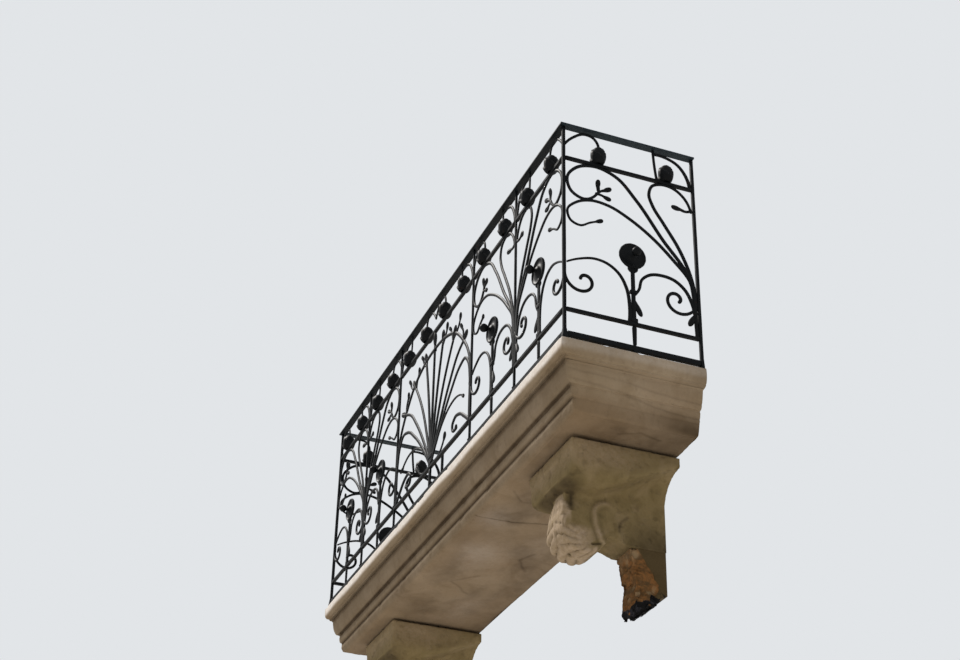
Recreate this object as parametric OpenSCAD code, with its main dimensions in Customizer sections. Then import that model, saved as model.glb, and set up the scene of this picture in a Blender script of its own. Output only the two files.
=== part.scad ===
/* [Overall] */
// Railing length along the wall, between corner post centres (mm)
rail_length = 3000; // [2700:10:3300]
// Railing projection from the wall to the corner post centres (mm)
rail_depth = 600; // [540:5:660]
// Handrail top above the slab (mm)
rail_height = 1038; // [940:2:1140]

/* [Slab] */
// Slab and cornice height in all (mm)
slab_height = 272; // [250:2:300]
// Height of the upper slab layer with the fascia (mm)
fascia_layer = 80; // [70:1:96]
// Slab overhang outside the railing centres (mm)
slab_overhang = 26; // [20:1:44]
// Height of the flat band at the slab edge (mm)
fascia_band = 38; // [30:1:46]
// Inset of the ovolo below the flat band (mm)
ovolo_inset = 22; // [10:1:30]
// Height of the hollow in the lower layer (mm)
hollow_height = 86; // [76:1:96]
// Height of the flat bead between the two quirks (mm)
bead_height = 38; // [30:1:44]
// Depth of the lower layer's hollow (mm)
hollow_depth = 28; // [18:1:36]
// Inset of the soffit edge from the fascia (mm)
soffit_inset = 98; // [90:1:118]
// Gap left between seated pieces (mm)
seat_gap = 0.3; // [0.2:0.05:0.5]

/* [Corbels] */
// Corbel centre, inward from the corner post centre (mm)
corbel_inset = 445; // [400:5:500]
// Width of the corbel plate (mm)
plate_width = 430; // [380:5:480]
// Projection of the corbel plate from the wall (mm)
plate_depth = 468; // [420:2:500]
// Thickness of the corbel plate (mm)
plate_thickness = 50; // [40:1:64]
// Height of the open joint above the plate edge (mm)
joint_height = 7; // [4:1:12]
// Depth of the open joint (mm)
joint_depth = 14; // [8:1:25]
// Width of the console body (mm)
console_width = 150; // [130:2:180]
// Height of the hollowed bell under the plate (mm)
bell_height = 130; // [110:2:150]
// Set back of the bell's rim from the plate's edge (mm)
bell_lip = 5; // [3:1:10]
// Height of the bolster under the plate (mm)
bolster_height = 132; // [120:2:150]
// Height of the bolster's plain front face (mm)
bolster_face = 88; // [70:2:100]
// Height of the bolster's plain sides (mm)
bolster_flank = 50; // [30:2:70]
// Console front, back from the plate's edge (mm)
console_back = 52; // [44:2:70]
// How far the front leaf stands proud of the console (mm)
front_leaf_proud = 18; // [12:1:26]
// Set back of the front leaf from each console side (mm)
front_leaf_inset = 18; // [12:1:26]
// Depth of the hollow in the console front (mm)
front_hollow = 16; // [8:1:24]
// Volute radius (mm)
volute_radius = 100; // [85:1:110]
// Volute centre from the wall (mm)
volute_out = 350; // [335:1:365]
// Volute centre below the plate (mm)
volute_below = 264; // [252:1:276]
// How far the volute stands proud of the console sides (mm)
volute_proud = 5; // [3:1:10]
// Depth of the spiral grooves in the scroll ends (mm)
spiral_depth = 4; // [3:0.5:8]
// Relief of the leaf on each console side (mm)
leaf_relief = 7; // [4:0.5:10]
// Tail width (mm)
tail_width = 138; // [120:2:148]
// Tail front from the wall, at its top (mm)
tail_out = 160; // [140:2:180]
// Joint between console and tail, below the plate (mm)
tail_joint_below = 308; // [300:1:320]
// Lowest point of the whole tail, below the plate (mm)
tail_below = 676; // [640:2:710]
// Radius of the small scroll at the foot of the whole tail (mm)
tail_scroll = 46; // [38:1:54]
// Lowest point of the broken tail, below the plate (mm)
break_below = 590; // [566:2:614]
// Height over which the break runs up to the wall (mm)
break_rise = 104; // [80:2:130]

/* [Iron bars] */
// Side of the square posts (mm)
post_side = 14; // [12:1:18]
// Width of the upright bars of the front (mm)
bar_width = 12; // [10:1:16]
// Depth of bars and scrolls, across the railing (mm)
bar_depth = 10; // [8:1:14]
// Handrail width (mm)
handrail_width = 36; // [28:1:44]
// Handrail height (mm)
handrail_height = 12; // [8:1:16]
// Height of the upper and the lower rail (mm)
rail_bar = 15; // [10:1:20]
// Depth of the rails below the handrail (mm)
rail_deep = 16; // [12:1:20]
// Height of the base rail (mm)
base_bar = 24; // [16:1:30]
// Height of the base rail's underside above the slab (mm)
base_low = 14; // [10:1:20]
// Length of the studs under the base rail (mm)
stud_length = 20; // [14:1:30]
// Upper rail centre below the handrail top (mm)
bud_band = 170; // [150:5:190]
// Lower rail centre above the slab (mm)
lower_level = 138; // [116:2:160]
// Width of the post foot (mm)
foot_side = 24; // [18:1:32]
// Height of the post foot (mm)
foot_height = 46; // [30:1:60]
// Step in the post foot, each side (mm)
foot_step = 2.5; // [1.5:0.5:4]

/* [Scrollwork] */
// Width of the stout strands (mm)
stout = 17; // [13:0.5:20]
// Width of the thin strands (mm)
slender = 12; // [8:0.5:14]
// Width of a strand at its tip (mm)
tip = 8; // [5:0.5:10]
// Width of the leaves (mm)
leaf_width = 23; // [17:0.5:28]
// Radius of the disc flower (mm)
disc_radius = 60; // [50:1:66]
// Thickness of the disc flower (mm)
disc_thick = 18; // [12:1:26]
// Disc flower centre, in percent of the height between the rails
disc_share = 43.8; // [40:0.2:47]
// Radius of the knob on the disc flower (mm)
knob_radius = 19; // [14:1:24]
// Neck between the disc flower and its knob (mm)
knob_neck = 18; // [10:1:24]
// Width of the disc flower stem (mm)
stem_width = 20; // [15:1:24]
// Radius of the buds under the handrail (mm)
bud_radius = 35; // [28:1:40]
// Height of the buds (mm)
bud_height = 86; // [74:1:96]

/* [Hidden] */
deck = slab_height / 2;
soffit = -slab_height / 2;
half_x = rail_length / 2;
edge_x = half_x + slab_overhang;
edge_y = rail_depth + slab_overhang;
layer_z = deck - fascia_layer;
bed_top = layer_z - seat_gap;
plate_top = soffit - seat_gap;
plate_bottom = plate_top - plate_thickness;
console_top = plate_bottom - seat_gap;
corbel_centre = half_x - corbel_inset;
volute_z = plate_bottom - volute_below;
tail_joint = plate_bottom - tail_joint_below;
tail_top = tail_joint - seat_gap;
whole_bottom = plate_bottom - tail_below;
broken_bottom = plate_bottom - break_below;
post_top = rail_height - handrail_height - seat_gap;
upper_level = rail_height - bud_band;
upper_low = upper_level - rail_bar / 2;
upper_high = upper_level + rail_bar / 2;
lower_low = lower_level - rail_bar / 2;
lower_high = lower_level + rail_bar / 2;
base_high = base_low + base_bar;
rise = upper_level - lower_level;
disc_level = lower_level + disc_share / 100 * rise;
bay = rail_length / 6;
uprights = [-3, -2, -1, 1, 2, 3];
curve_steps = 4;
side_right = 1;
side_left = -1;

// Curves through knots

function gap_len(k, i) = norm(k[i + 1] - k[i]);

// Direction at a knot, weighted by its two neighbours
function inner_dir(k, i) =
    let (a = gap_len(k, i - 1), b = gap_len(k, i))
    ((k[i] - k[i - 1]) / a * b + (k[i + 1] - k[i]) / b * a) / (a + b);

function knot_dir(k, i) =
    let (n = len(k) - 1)
    n == 1 ? (k[1] - k[0]) / gap_len(k, 0)
    : i == 0 ? 2 * (k[1] - k[0]) / gap_len(k, 0) - inner_dir(k, 1)
    : i == n ? 2 * (k[n] - k[n - 1]) / gap_len(k, n - 1) - inner_dir(k, n - 1)
    : inner_dir(k, i);

function between(k, i, t) =
    let (h = gap_len(k, i))
    (2 * t * t * t - 3 * t * t + 1) * k[i]
    + (t * t * t - 2 * t * t + t) * h * knot_dir(k, i)
    + (3 * t * t - 2 * t * t * t) * k[i + 1]
    + (t * t * t - t * t) * h * knot_dir(k, i + 1);

function smooth(k, steps) = concat(
    [for (i = [0:len(k) - 2]) for (j = [0:steps - 1]) between(k, i, j / steps)],
    [k[len(k) - 1]]
);

function normal_at(p, i) =
    let (
        n = len(p) - 1,
        d = p[min(i + 1, n)] - p[max(i - 1, 0)]
    )
    [-d[1], d[0]] / norm(d);

// Outline of a strand with its own width at each end
function ribbon(p, w0, w1) =
    let (n = len(p) - 1)
    concat(
        [for (i = [0:n]) p[i] + normal_at(p, i) * (w0 + (w1 - w0) * i / n) / 2],
        [for (i = [n:-1:0]) p[i] - normal_at(p, i) * (w0 + (w1 - w0) * i / n) / 2]
    );

// Points of a spiral that closes in from radius r0 to r1
function spiral(c, r0, r1, a0, a1, steps) = [
    for (i = [0:steps])
        let (u = i / steps, r = r0 * pow(r1 / r0, u), a = a0 + (a1 - a0) * u)
        c + r * [cos(a), sin(a)]
];

// Knots in percent of a width and of a height above a level
function fit(w, z, h, k) = [for (p = k) [p[0] * w / 100, z + p[1] * h / 100]];

// Knots between the lower and the upper rail
function in_bay(w, k) = fit(w, lower_level, rise, k);

// Knots between the upper rail and the handrail
function in_band(w, k) = fit(w, upper_high, post_top - upper_high, k);

// An outline half and its mirror image, closed into one loop
function both_halves(k) = concat(k, [for (i = [len(k) - 1:-1:0]) [-k[i][0], k[i][1]]]);

module strand(k, w0, w1) {
    polygon(ribbon(smooth(k, curve_steps), w0, w1));
}

module coil(c, r0, r1, a0, a1, w0, w1) {
    polygon(ribbon(spiral(c, r0, r1, a0, a1, 22), w0, w1));
}

// Pointed leaf between two points, widest at its middle
module leaf(k, w) {
    d = k[1] - k[0];
    s = [-d[1], d[0]] / norm(d) * w / 2;
    steps = 5;
    polygon(concat(
        [for (i = [0:steps]) k[0] + d * i / steps + s * (0.22 + 0.78 * sin(180 * i / steps))],
        [for (i = [steps:-1:0]) k[0] + d * i / steps - s * (0.22 + 0.78 * sin(180 * i / steps))]
    ));
}

// Placing on the front, on a side, and on both sides of the middle

module on_front(depth) {
    translate([0, -rail_depth, deck])
        rotate([90, 0, 0])
            translate([0, 0, -depth / 2])
                linear_extrude(depth)
                    children();
}

module on_side(side, depth) {
    both_ways(side)
        translate([half_x, -rail_depth, deck])
            rotate([90, 0, 90])
                translate([0, 0, -depth / 2])
                    linear_extrude(depth)
                        children();
}

module both_ways(side) {
    mirror([side < 0 ? 1 : 0, 0, 0])
        children();
}

// Box with its middle at x and y, standing on z
module block(x, y, z, dx, dy, dz) {
    translate([x - dx / 2, y - dy / 2, z])
        cube([dx, dy, dz]);
}

// Stone

// Upper layer edge, as inset from the fascia and level
function fascia_edge() =
    let (fillet = 12, drop = fascia_layer - fascia_band - fillet)
    concat(
        [[8, deck], [2, deck - 3], [0, deck - 9], [0, deck - fascia_band]],
        [for (i = [1:5])
            [ovolo_inset * (1 - cos(18 * i)), deck - fascia_band - drop * sin(18 * i)]],
        [[ovolo_inset + 6, layer_z + fillet], [ovolo_inset + 6, layer_z]]
    );

// Lower layer edge: hollow, two quirks with a bead, and a small ovolo
function bed_edge() =
    let (
        s0 = ovolo_inset + 12,
        s1 = s0 + 4 + hollow_depth,
        z1 = bed_top - hollow_height,
        bead = bead_height / 2,
        z2 = z1 - bead_height - 8,
        s2 = s1 + 11
    )
    concat(
        [[s0, bed_top], [s0, bed_top - 8]],
        [for (i = [0:6])
            [s1 - hollow_depth * cos(15 * i), bed_top - 8 - (hollow_height - 8) * sin(15 * i)]],
        [[s1 + 7, z1], [s1 + 7, z1 - 5]],
        [for (i = [0:4]) let (a = 60 - 30 * i)
            [s1 + 12 - 8 * cos(a), z1 - 5 - bead + bead * sin(a)]],
        [[s2 + 7, z2], [s2 + 7, z2 - 5]],
        [for (i = [1:4])
            [soffit_inset + 12 - (soffit_inset + 12 - s2) * cos(22.5 * i),
                z2 - 5 - (z2 - 5 - soffit) * sin(22.5 * i)]]
    );

// Stone course with the same edge on its front and both sides
module course(reach_x, reach_y, edge) {
    n = len(edge) - 1;
    intersection() {
        translate([-reach_x - 10, 0, 0])
            rotate([90, 0, 90])
                linear_extrude(2 * reach_x + 20)
                    polygon(concat(
                        [for (e = edge) [e[0] - reach_y, e[1]]],
                        [[0, edge[n][1]], [0, edge[0][1]]]
                    ));
        translate([0, 10, 0])
            rotate([90, 0, 0])
                linear_extrude(reach_y + 20)
                    polygon(both_halves([for (e = edge) [e[0] - reach_x, e[1]]]));
    }
}

module slab() {
    color([0.66, 0.56, 0.47])
        course(edge_x, edge_y, fascia_edge());
}

module bed_mould() {
    color([0.60, 0.50, 0.41])
        course(edge_x, edge_y, bed_edge());
}

// Plate edge: open joint and a plain face with an eased lower corner
function plate_edge() = [
    [joint_depth, plate_top], [joint_depth, plate_top - joint_height], [0, plate_top - joint_height],
    [0, plate_bottom + bell_lip], [bell_lip / 2, plate_bottom]
];

module plate(side) {
    color([0.60, 0.51, 0.40])
        both_ways(side)
            translate([corbel_centre, 0, 0])
                course(plate_width / 2, plate_depth, plate_edge());
}

// Bell edge: a deep hollow from under the plate in to the console
function bell_edge() =
    let (inset = plate_width / 2 - bell_lip - console_width / 2 + 2)
    [for (i = [0:6]) [inset * sin(15 * i), console_top - bell_height * (1 - cos(15 * i))]];

// Console seen from the side, as distance from the wall and level, moved out by an amount
function console_side(proud) =
    let (
        front = plate_depth - console_back + proud,
        back = front - front_hollow,
        drop = volute_z + 0.6 * volute_radius - console_top
    )
    concat(
        [[0, console_top]],
        [for (i = [0:6]) [-back - front_hollow * pow(cos(15 * i), 2), console_top + drop * sin(15 * i)]],
        [
            [-volute_out, volute_z], [-tail_out - 0.5 * volute_radius, tail_joint + 16],
            [-tail_out - 12, tail_joint], [0, tail_joint]
        ]
    );

// Oval leaf carved on a console side, with its stalk
module side_leaf() {
    w = 0.4 * volute_radius;
    h = 0.58 * volute_radius;
    mid = [-0.72 * volute_out, console_top - 0.56 * volute_below];
    translate(mid)
        scale([w / h, 1])
            circle(r = h);
    leaf([mid - [0, 0.4 * h], [-tail_out - 30, tail_joint + 18]], 0.7 * w);
}

// A side view of the console made solid, between two equal distances from its middle
module console_part(half) {
    translate([-half, 0, 0])
        rotate([90, 0, 90])
            linear_extrude(2 * half)
                children();
}

// Bolster seen from the side: a deep front face, rounded under, that runs out towards the wall
function bolster_side() =
    let (front = plate_depth - bell_lip, nose = 0.3 * front)
    concat(
        [[-bell_lip, console_top], [-front, console_top]],
        [for (i = [0:4])
            [-front + nose * (1 - cos(22.5 * i)),
                console_top - bolster_face - (bolster_height - bolster_face) * sin(22.5 * i)]]
    );

// One half of the bolster seen from the front
function bolster_front() =
    let (half = plate_width / 2 - bell_lip, turn = half - console_width / 2 - 30)
    concat(
        [[half, console_top]],
        [for (i = [0:4])
            [half - turn * (1 - cos(22.5 * i)),
                console_top - bolster_flank - (bolster_height - bolster_flank) * sin(22.5 * i)]]
    );

module bolster() {
    intersection() {
        console_part(plate_width)
            polygon(bolster_side());
        rotate([90, 0, 0])
            linear_extrude(plate_depth)
                polygon(both_halves(bolster_front()));
    }
}

module console(side) {
    w = console_width / 2;
    color([0.62, 0.52, 0.40])
        both_ways(side)
            translate([corbel_centre, 0, 0])
                difference() {
                    union() {
                        course(plate_width / 2 - bell_lip, plate_depth - bell_lip, bell_edge());
                        bolster();
                        console_part(w)
                            polygon(console_side(0));
                        console_part(w - front_leaf_inset)
                            polygon(console_side(front_leaf_proud));
                        console_part(w + leaf_relief)
                            side_leaf();
                    }
                    translate([0, -volute_out, volute_z])
                        rotate([0, 90, 0])
                            cylinder(r = volute_radius + seat_gap, h = 4 * console_width, center = true);
                }
}

// Scroll drum along the wall, with a spiral groove and an eye at each end
module drum(r, width) {
    difference() {
        rotate([0, 90, 0])
            cylinder(r = r, h = width, center = true);
        for (end = [-1, 1])
            translate([end * width / 2 - spiral_depth, 0, 0])
                rotate([90, 0, 90])
                    linear_extrude(2 * spiral_depth)
                        coil([0, 0], 0.84 * r, 0.30 * r, 100, -430, 0.12 * r, 0.09 * r);
    }
    rotate([0, 90, 0])
        cylinder(r = 0.2 * r, h = width + spiral_depth, center = true);
}

module volute(side) {
    color([0.70, 0.60, 0.50])
        both_ways(side)
            translate([corbel_centre, -volute_out, volute_z])
                drum(volute_radius, console_width + 2 * volute_proud);
}

// Front of the tail, hollowed a little, down to a level
function tail_front(low) = smooth([
    [-tail_out, tail_top],
    [-0.90 * tail_out, tail_top - 0.30 * (tail_top - low)],
    [-0.84 * tail_out, tail_top - 0.65 * (tail_top - low)],
    [-0.90 * tail_out, low]
], 3);

module tail_body(outline) {
    translate([corbel_centre - tail_width / 2, 0, 0])
        rotate([90, 0, 90])
            linear_extrude(tail_width)
                polygon(outline);
}

// Jagged line of the break, from its front to its end, in shares of its size
function jagged(reach, height, k) = [for (p = k) [p[0] * reach, broken_bottom + p[1] * height]];

module tail_right() {
    w = tail_width / 2;
    color([0.55, 0.36, 0.22])
        intersection() {
            tail_body(concat(
                tail_front(broken_bottom + 0.4 * break_rise),
                jagged(-tail_out, break_rise, [
                    [0.84, 0.08], [0.76, 0], [0.66, 0.36], [0.56, 0.22],
                    [0.44, 0.64], [0.30, 0.50], [0.18, 0.88], [0, 1]
                ]),
                [[0, tail_top]]
            ));
            translate([corbel_centre, 0, 0])
                rotate([90, 0, 0])
                    linear_extrude(tail_out + 10)
                        polygon(concat(
                            [[-w, tail_top], [w, tail_top]],
                            jagged(w, break_rise, [
                                [1, 0.42], [0.7, 0.12], [0.36, 0.26], [0, 0],
                                [-0.4, 0.2], [-0.7, 0.06], [-1, 0.5]
                            ])
                        ));
        }
}

module tail_left() {
    zc = whole_bottom + tail_scroll;
    color([0.62, 0.52, 0.40])
        both_ways(side_left) {
            tail_body(concat(
                tail_front(zc + 0.6 * tail_scroll),
                [[-0.6 * tail_out, zc], [-0.2 * tail_out, zc - 0.5 * tail_scroll]],
                [[0, zc - 0.5 * tail_scroll], [0, tail_top]]
            ));
            translate([corbel_centre, -0.6 * tail_out, zc])
                drum(tail_scroll, tail_width + volute_proud);
        }
}

// Uprights

module foot(x, y, dx, dy) {
    block(x, y, deck + seat_gap, dx, dy, 0.55 * foot_height);
    block(x, y, deck + seat_gap, dx - 2 * foot_step, max(post_side, dy - 2 * foot_step), foot_height);
}

module corner_post(side) {
    color([0.10, 0.12, 0.13])
        both_ways(side) {
            block(half_x, -rail_depth, deck + seat_gap, post_side, post_side, post_top - seat_gap);
            foot(half_x, -rail_depth, foot_side, foot_side);
        }
}

module wall_post(side) {
    y = -post_side / 2;
    color([0.10, 0.12, 0.13])
        both_ways(side) {
            block(half_x, y, deck + seat_gap, post_side, post_side, post_top - seat_gap);
            foot(half_x, y, foot_side, post_side);
        }
}

module bars(side) {
    low = base_high + seat_gap;
    color([0.10, 0.12, 0.13])
        both_ways(side)
            for (k = [1, 2])
                block(k * bay, -rail_depth, deck + low, bar_width, bar_depth, post_top - low);
}

// Rails

// Handrail lengths, mitred where they meet at the corners
module handrail_front() {
    w = handrail_width / 2;
    color([0.11, 0.13, 0.14])
        translate([0, -rail_depth, deck + rail_height - handrail_height])
            linear_extrude(handrail_height)
                polygon(both_halves([[-half_x - w, -w], [-half_x + w + seat_gap, w]]));
}

module handrail_side(side) {
    w = handrail_width / 2;
    shift = 1.5 * seat_gap;
    color([0.11, 0.13, 0.14])
        both_ways(side)
            translate([half_x, -rail_depth, deck + rail_height - handrail_height])
                linear_extrude(handrail_height)
                    polygon([[w, -w + shift], [w, rail_depth], [-w, rail_depth], [-w, w + shift]]);
}

function upright_half(k) = abs(k) == 3 ? post_side / 2 : bar_width / 2;

// One rail of the front, in lengths between the uprights
module rail_front(z) {
    color([0.10, 0.12, 0.13])
        for (i = [0:len(uprights) - 2]) {
            x0 = uprights[i] * bay + upright_half(uprights[i]) + seat_gap;
            x1 = uprights[i + 1] * bay - upright_half(uprights[i + 1]) - seat_gap;
            block((x0 + x1) / 2, -rail_depth, deck + z, x1 - x0, rail_deep, rail_bar);
        }
}

// A side rail between the corner post and the wall post
module rail_side(side, z) {
    y0 = -rail_depth + post_side / 2 + seat_gap;
    y1 = -post_side - seat_gap;
    color([0.10, 0.12, 0.13])
        both_ways(side)
            block(half_x, (y0 + y1) / 2, deck + z, rail_deep, y1 - y0, rail_bar);
}

// Base rails stand on short studs
module base_front() {
    length = rail_length - foot_side - 2 * seat_gap;
    color([0.10, 0.12, 0.13]) {
        block(0, -rail_depth, deck + base_low, length, rail_deep, base_bar);
        for (k = [-2:2])
            block(k * bay, -rail_depth, deck + seat_gap, stud_length, rail_deep, base_low + base_bar / 2);
    }
}

module base_side(side) {
    y0 = -rail_depth + foot_side / 2 + seat_gap;
    y1 = -post_side - seat_gap;
    color([0.10, 0.12, 0.13])
        both_ways(side) {
            block(half_x, (y0 + y1) / 2, deck + base_low, rail_deep, y1 - y0, base_bar);
            block(half_x, -rail_depth / 2, deck + seat_gap, rail_deep, stud_length, base_low + base_bar / 2);
        }
}

// Scrollwork

// Clear field of a bay, with the stem and disc flower kept free
module field(w, mid) {
    difference() {
        translate([seat_gap, lower_high + seat_gap])
            square([w - 2 * seat_gap, upper_low - lower_high - 2 * seat_gap]);
        translate([mid - stem_width / 2 - seat_gap, 0])
            square([stem_width + 2 * seat_gap, disc_level]);
        translate([mid, disc_level])
            circle(r = disc_radius + seat_gap);
    }
}

// Whiplash strands that gather at x = w and loop back near x = 0
module whiplash(w) {
    // over the first loop and back to the sprig
    strand(in_bay(w, [
        [99.2, 23.3], [93, 41.1], [75, 60.3], [55, 82.9], [40, 95.2], [23.5, 98.9],
        [9, 95.2], [1.6, 87], [4.7, 78], [14, 74.7], [25, 80.8]
    ]), stout, slender);
    // over the second loop to its leaf
    strand(in_bay(w, [
        [99.2, 19.2], [95, 37], [83, 47.9], [67, 59.6], [50, 68.5], [33, 74.2], [20, 74.8],
        [8.5, 71.2], [1.6, 65], [4, 58.2], [11, 56.2], [19, 59.6], [27, 62.3]
    ]), stout, tip);
    leaf(in_bay(w, [[22, 60.8], [28.5, 62.7]]), 0.8 * leaf_width);
    // narrow loop beside the gathered strands
    strand(in_bay(w, [
        [99, 26], [95.5, 41.1], [88, 56.2], [76.5, 71.2], [68, 82.2], [65.5, 89],
        [68.5, 95.9], [76.5, 98.6], [87, 97.3], [95, 91.8], [98.8, 84.2]
    ]), stout, slender);
    // gathered strands along the upright
    strand(in_bay(w, [[98.8, 0], [98.2, 13.7], [97.5, 27.4], [95.5, 38.4]]), stout, stout);
}

// Sprig of three leaves that ends the first loop
module sprig(w) {
    strand(in_bay(w, [[25, 80.8], [26, 84.2], [25, 88.4]]), slender, slender);
    leaf(in_bay(w, [[25, 82.9], [25.5, 90]]), 0.9 * leaf_width);
    strand(in_bay(w, [[23.5, 79.5], [29, 83.6], [34, 85.2]]), slender, slender);
    leaf(in_bay(w, [[28, 82.9], [35.5, 86]]), 0.9 * leaf_width);
    strand(in_bay(w, [[24, 80.5], [30, 79.7], [34, 78.4]]), slender, slender);
    leaf(in_bay(w, [[28, 80.3], [35, 77.8]]), 0.9 * leaf_width);
}

// Leaf that points in from the upright, inside the narrow loop
module inner_leaf(w) {
    leaf(in_bay(w, [[83, 84.7], [93, 84.4]]), leaf_width);
    strand(in_bay(w, [[90, 84.4], [95, 83.8], [99, 85.2]]), slender, slender);
}

// Arches and coils on both sides of the disc flower's stem
module arches(w) {
    strand(in_bay(w, [
        [47, 0], [47.5, 12.3], [45.5, 22.2], [40, 30.4], [31.5, 35.1], [21.5, 36.3], [11, 34.2], [1.2, 30.4]
    ]), stout, tip);
    coil(in_bay(w, [[13.5, 20.8]])[0], 0.145 * w, 0.027 * w, 172, 520, slender + 1, slender + 3);
    strand(in_bay(w, [
        [52, 19.2], [55, 23], [57.5, 29.9], [63.5, 34.2], [73.5, 35.9],
        [83.5, 34.5], [91, 29.9], [96, 21.9], [98.4, 11], [98.6, 0]
    ]), slender, stout);
    coil(in_bay(w, [[84, 22.4]])[0], 0.16 * w, 0.025 * w, 0, -395, slender + 1, slender + 4);
    leaf(in_bay(w, [[92.5, 7.1], [99.4, 16.7]]), leaf_width);
    leaf(in_bay(w, [[51.5, 15.8], [56, 5.8]]), leaf_width);
}

module bay_scroll(w, mid) {
    intersection() {
        union() {
            whiplash(w);
            sprig(w);
            inner_leaf(w);
            arches(w);
        }
        field(w, mid);
    }
}

// Outer bays loop at the corner post, inner bays at the middle bars
module front_scroll(side, outer) {
    edge = outer ? post_side / 2 : bar_width / 2;
    color([0.09, 0.11, 0.12])
        both_ways(side)
            on_front(bar_depth)
                translate([outer ? half_x : bay, 0])
                    mirror([outer ? 1 : 0, 0])
                        translate([edge, 0])
                            bay_scroll(bay - edge - bar_width / 2, bay / 2 - edge);
}

module side_scroll(side) {
    edge = post_side / 2;
    color([0.09, 0.11, 0.12])
        on_side(side, bar_depth)
            translate([edge, 0])
                bay_scroll(rail_depth - edge - post_side, rail_depth / 2 - edge);
}

// Stems that spread from the foot of the fan, to the right of its middle
module fan_stems(w) {
    strand(in_bay(w, [[0, 4.1], [5.3, 27.4], [12.6, 54.8], [22.7, 82.9]]), stout, slender);
    strand(in_bay(w, [[0, 2.7], [11.7, 24.7], [30, 52.1], [50.6, 73.4]]), stout, slender);
    strand(in_bay(w, [[0, 1.6], [19.8, 23], [46.2, 46.3], [64.4, 58.6], [78.1, 63]]), stout, slender);
    // outermost stem, turned down along the upright
    strand(in_bay(w, [
        [0.4, 0.8], [23.9, 20.8], [49.8, 37.8], [70.4, 47.4], [84.6, 49],
        [93.5, 42.7], [97.6, 31.5], [98.2, 13.7], [98.4, 0]
    ]), stout, stout);
}

// Arch over the stems, and the curls at the foot of the fan
module fan_arch(w) {
    strand(in_bay(w, [
        [98, 26], [96.8, 43.8], [90.3, 53.7], [77.7, 64.7], [57.5, 77], [30.4, 84.1], [0, 86.2]
    ]), stout, stout);
    strand(in_bay(w, [[14.2, 12.3], [30, 22.2], [48.2, 27.5], [66.8, 27.9], [83.4, 23]]), slender, tip);
    leaf(in_bay(w, [[77.7, 25.2], [85.8, 21.6]]), 0.8 * leaf_width);
    strand(in_bay(w, [
        [99.2, 0.8], [87, 7.7], [74, 13.4], [62.8, 14.5], [56.3, 11], [57.9, 6.6], [64.4, 5.8]
    ]), stout + 3, slender);
    leaf(in_bay(w, [[61.9, 5.3], [69.6, 7.1]]), leaf_width);
    strand(in_bay(w, [[12.1, 0.8], [25.9, 3], [35.6, 9.3]]), slender, tip);
    leaf(in_bay(w, [[32.4, 6.8], [39.7, 12.3]]), leaf_width);
}

// Buds at the ends of the stems, with the twigs beside them
module fan_buds(w) {
    leaf(in_bay(w, [[21.1, 80.8], [25.1, 91.5]]), leaf_width + 4);
    leaf(in_bay(w, [[49.4, 72.3], [59.1, 82.2]]), leaf_width + 4);
    leaf(in_bay(w, [[75.3, 62.5], [90.3, 67.1]]), leaf_width + 4);
    strand(in_bay(w, [[21.9, 80.8], [28.3, 84.4], [34, 90.4]]), slender, tip);
    leaf(in_bay(w, [[30.8, 87.4], [36, 93.4]]), 0.8 * leaf_width);
    strand(in_bay(w, [[50.2, 72.6], [48.6, 78.9], [43.3, 84.4]]), slender, tip);
    leaf(in_bay(w, [[46.2, 82.2], [41.3, 87.1]]), 0.8 * leaf_width);
    strand(in_bay(w, [[53, 75.3], [63.2, 78.4], [68.8, 83.8]]), slender, tip);
    leaf(in_bay(w, [[66.4, 81.4], [71.3, 87.1]]), 0.8 * leaf_width);
    strand(in_bay(w, [[76.9, 63], [78.1, 69.3], [73.7, 75.3]]), slender, tip);
    leaf(in_bay(w, [[75.3, 72.6], [71.7, 78.4]]), 0.8 * leaf_width);
}

// Right half of the fan
module fan_half(w) {
    fan_stems(w);
    fan_arch(w);
    fan_buds(w);
}

module fan() {
    w = bay - bar_width / 2;
    color([0.09, 0.11, 0.12])
        on_front(bar_depth) {
            intersection() {
                union() {
                    fan_half(w);
                    mirror([1, 0])
                        fan_half(w);
                    translate([-stem_width / 2, 0])
                        square([stem_width, lower_level + 0.88 * rise]);
                    leaf(in_bay(w, [[0, 86], [0, 99.2]]), leaf_width + 8);
                }
                translate([-w + seat_gap, lower_high + seat_gap])
                    square([2 * (w - seat_gap), upper_low - lower_high - 2 * seat_gap]);
            }
            translate([-stem_width / 2, base_high + seat_gap])
                square([stem_width, lower_low - base_high - 2 * seat_gap]);
        }
}

// Disc flower with its knob, facing out of the railing
module disc_flower() {
    r = disc_radius;
    t = disc_thick / 2;
    rim = [for (i = [0:4]) [r * (0.55 + 0.45 * sin(22.5 * i)), t * (0.1 + 0.9 * cos(22.5 * i))]];
    rotate([90, 0, 0])
        rotate_extrude()
            polygon(concat(
                [[0, -t]],
                [for (p = rim) [p[0], -p[1]]],
                [for (i = [4:-1:0]) rim[i]],
                [[0.36 * r, t], [0.30 * r, t + 5], [0.16 * r, t + 7]],
                [[0.13 * r, t + knob_neck], [0, t + knob_neck]]
            ));
    translate([0, -t - knob_neck - 0.8 * knob_radius, 0])
        sphere(r = knob_radius);
}

module disc_stem() {
    low = lower_high + seat_gap;
    under = base_high + seat_gap;
    block(0, 0, under, stem_width, bar_depth, lower_low - under - seat_gap);
    block(0, 0, low, stem_width, bar_depth, disc_level - low - 0.7 * disc_radius);
    translate([0, 0, disc_level])
        disc_flower();
}

module discs_front() {
    color([0.08, 0.10, 0.11])
        for (side = [side_right, side_left])
            both_ways(side)
                for (k = [1.5, 2.5])
                    translate([k * bay, -rail_depth, deck])
                        disc_stem();
}

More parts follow.
